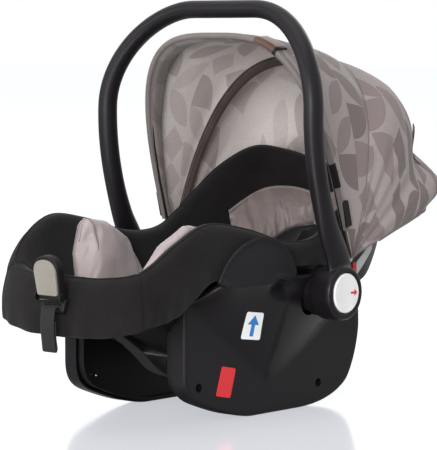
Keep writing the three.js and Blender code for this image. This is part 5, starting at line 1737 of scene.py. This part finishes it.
def paddle_outline(low, high, height, bottom):
    side_line = [(3 - low, bottom), (low - 3, bottom)]
    right = bezier((low - 3, bottom), (low, bottom), (low, bottom), (low, bottom + 3), 6)
    top_right = bezier((high, height - 18), (high, height - 5), (high * 0.55, height), (0, height))
    top_left = bezier((0, height), (-high * 0.55, height), (-high, height - 5), (-high, height - 18))
    left = bezier((-low, bottom + 3), (-low, bottom), (-low, bottom), (3 - low, bottom), 6)
    return even_outline(np.concatenate([side_line, right, top_right, top_left, left]), 1.5, 2)


def on_lever(points):
    """(n, u, v) in the lever's frame, out, across and up, to metres."""
    n, u, v = np.asarray(points, float).T
    c, s = math.cos(paddle_lean), math.sin(paddle_lean)
    root = on_adjuster(0, 2.5, 10)
    return placed(np.stack([u, root[1] - v * s - n * c, root[2] + v * c - n * s], 1))


paddle_line = paddle_outline(18.5, 20, 51, 2)
bezel_line = paddle_outline(20.5, 22, 55, -5)


def paddle_face(spots):
    rim = np.clip(1 - distance_to(spots, paddle_line) / 5, 0, 1)
    return 3.6 + 0.9 * rim**2


paddle = moulded_shell(
    "thumb_paddle", paddle_line, paddle_face, level(0.2), 1.2, 1, on_lever, grey_plastic, 1.6
)
surround = moulded_shell(
    "paddle_surround", bezel_line, level(0.6), level(-11.5), 2, 1.4, on_lever, black_plastic, 2.2
)
for piece in (paddle, surround):
    crease_by_angle(piece, 40)
    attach(piece, "adjuster_lever")
base_line = even_outline([(-22, -16), (22, -16), (22, 2), (-22, 2)], 1.5, 5)


def on_base(points):
    n, u, v = np.asarray(points, float).T
    return placed([on_adjuster(*p) for p in zip(u, v, n)])


base = moulded_shell(
    "adjuster_base", base_line, level(1.0), level(-5.2), 1.6, 1.6, on_base, black_plastic, 2.5
)
neck_line = even_outline([(-15, -14.5), (15, -14.5), (15, -4.5), (-15, -4.5)], 1.5, 2)
neck = moulded_shell(
    "adjuster_neck", neck_line, level(-4.6), level(-29.0), 1, 1.4, on_base, black_plastic, 2.5
)
base_parts = [base, neck]
for way in (1, -1):
    ear = [(0, 21.2), (5.6, 21.2), (6.2, 21.8), (6.2, 24.2), (5.4, 25), (0, 25)]
    root = on_adjuster(0, 2.5, 10)
    base_parts.append(turned_mesh("ear", ear, root[1], root[2], 40, way))
for tall in (-12.6, -6.4):
    bulge = 1.2 if tall > -9 else -1.2
    lip = [(u, tall + bulge * math.sin(math.pi * (u + 15) / 30)) for u in np.linspace(-15, 15, 20)]
    lip_line = placed([on_adjuster(u, v, 1.2) for u, v in lip])
    base_parts.append(tube("slot_lip", lip_line, 0.0016, black_plastic))
base = joined(base_parts)
one_material(base, black_plastic)
crease_by_angle(base, 40)
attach(base, "seat")
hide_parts("adjuster_housing")
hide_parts("adjuster_lever")
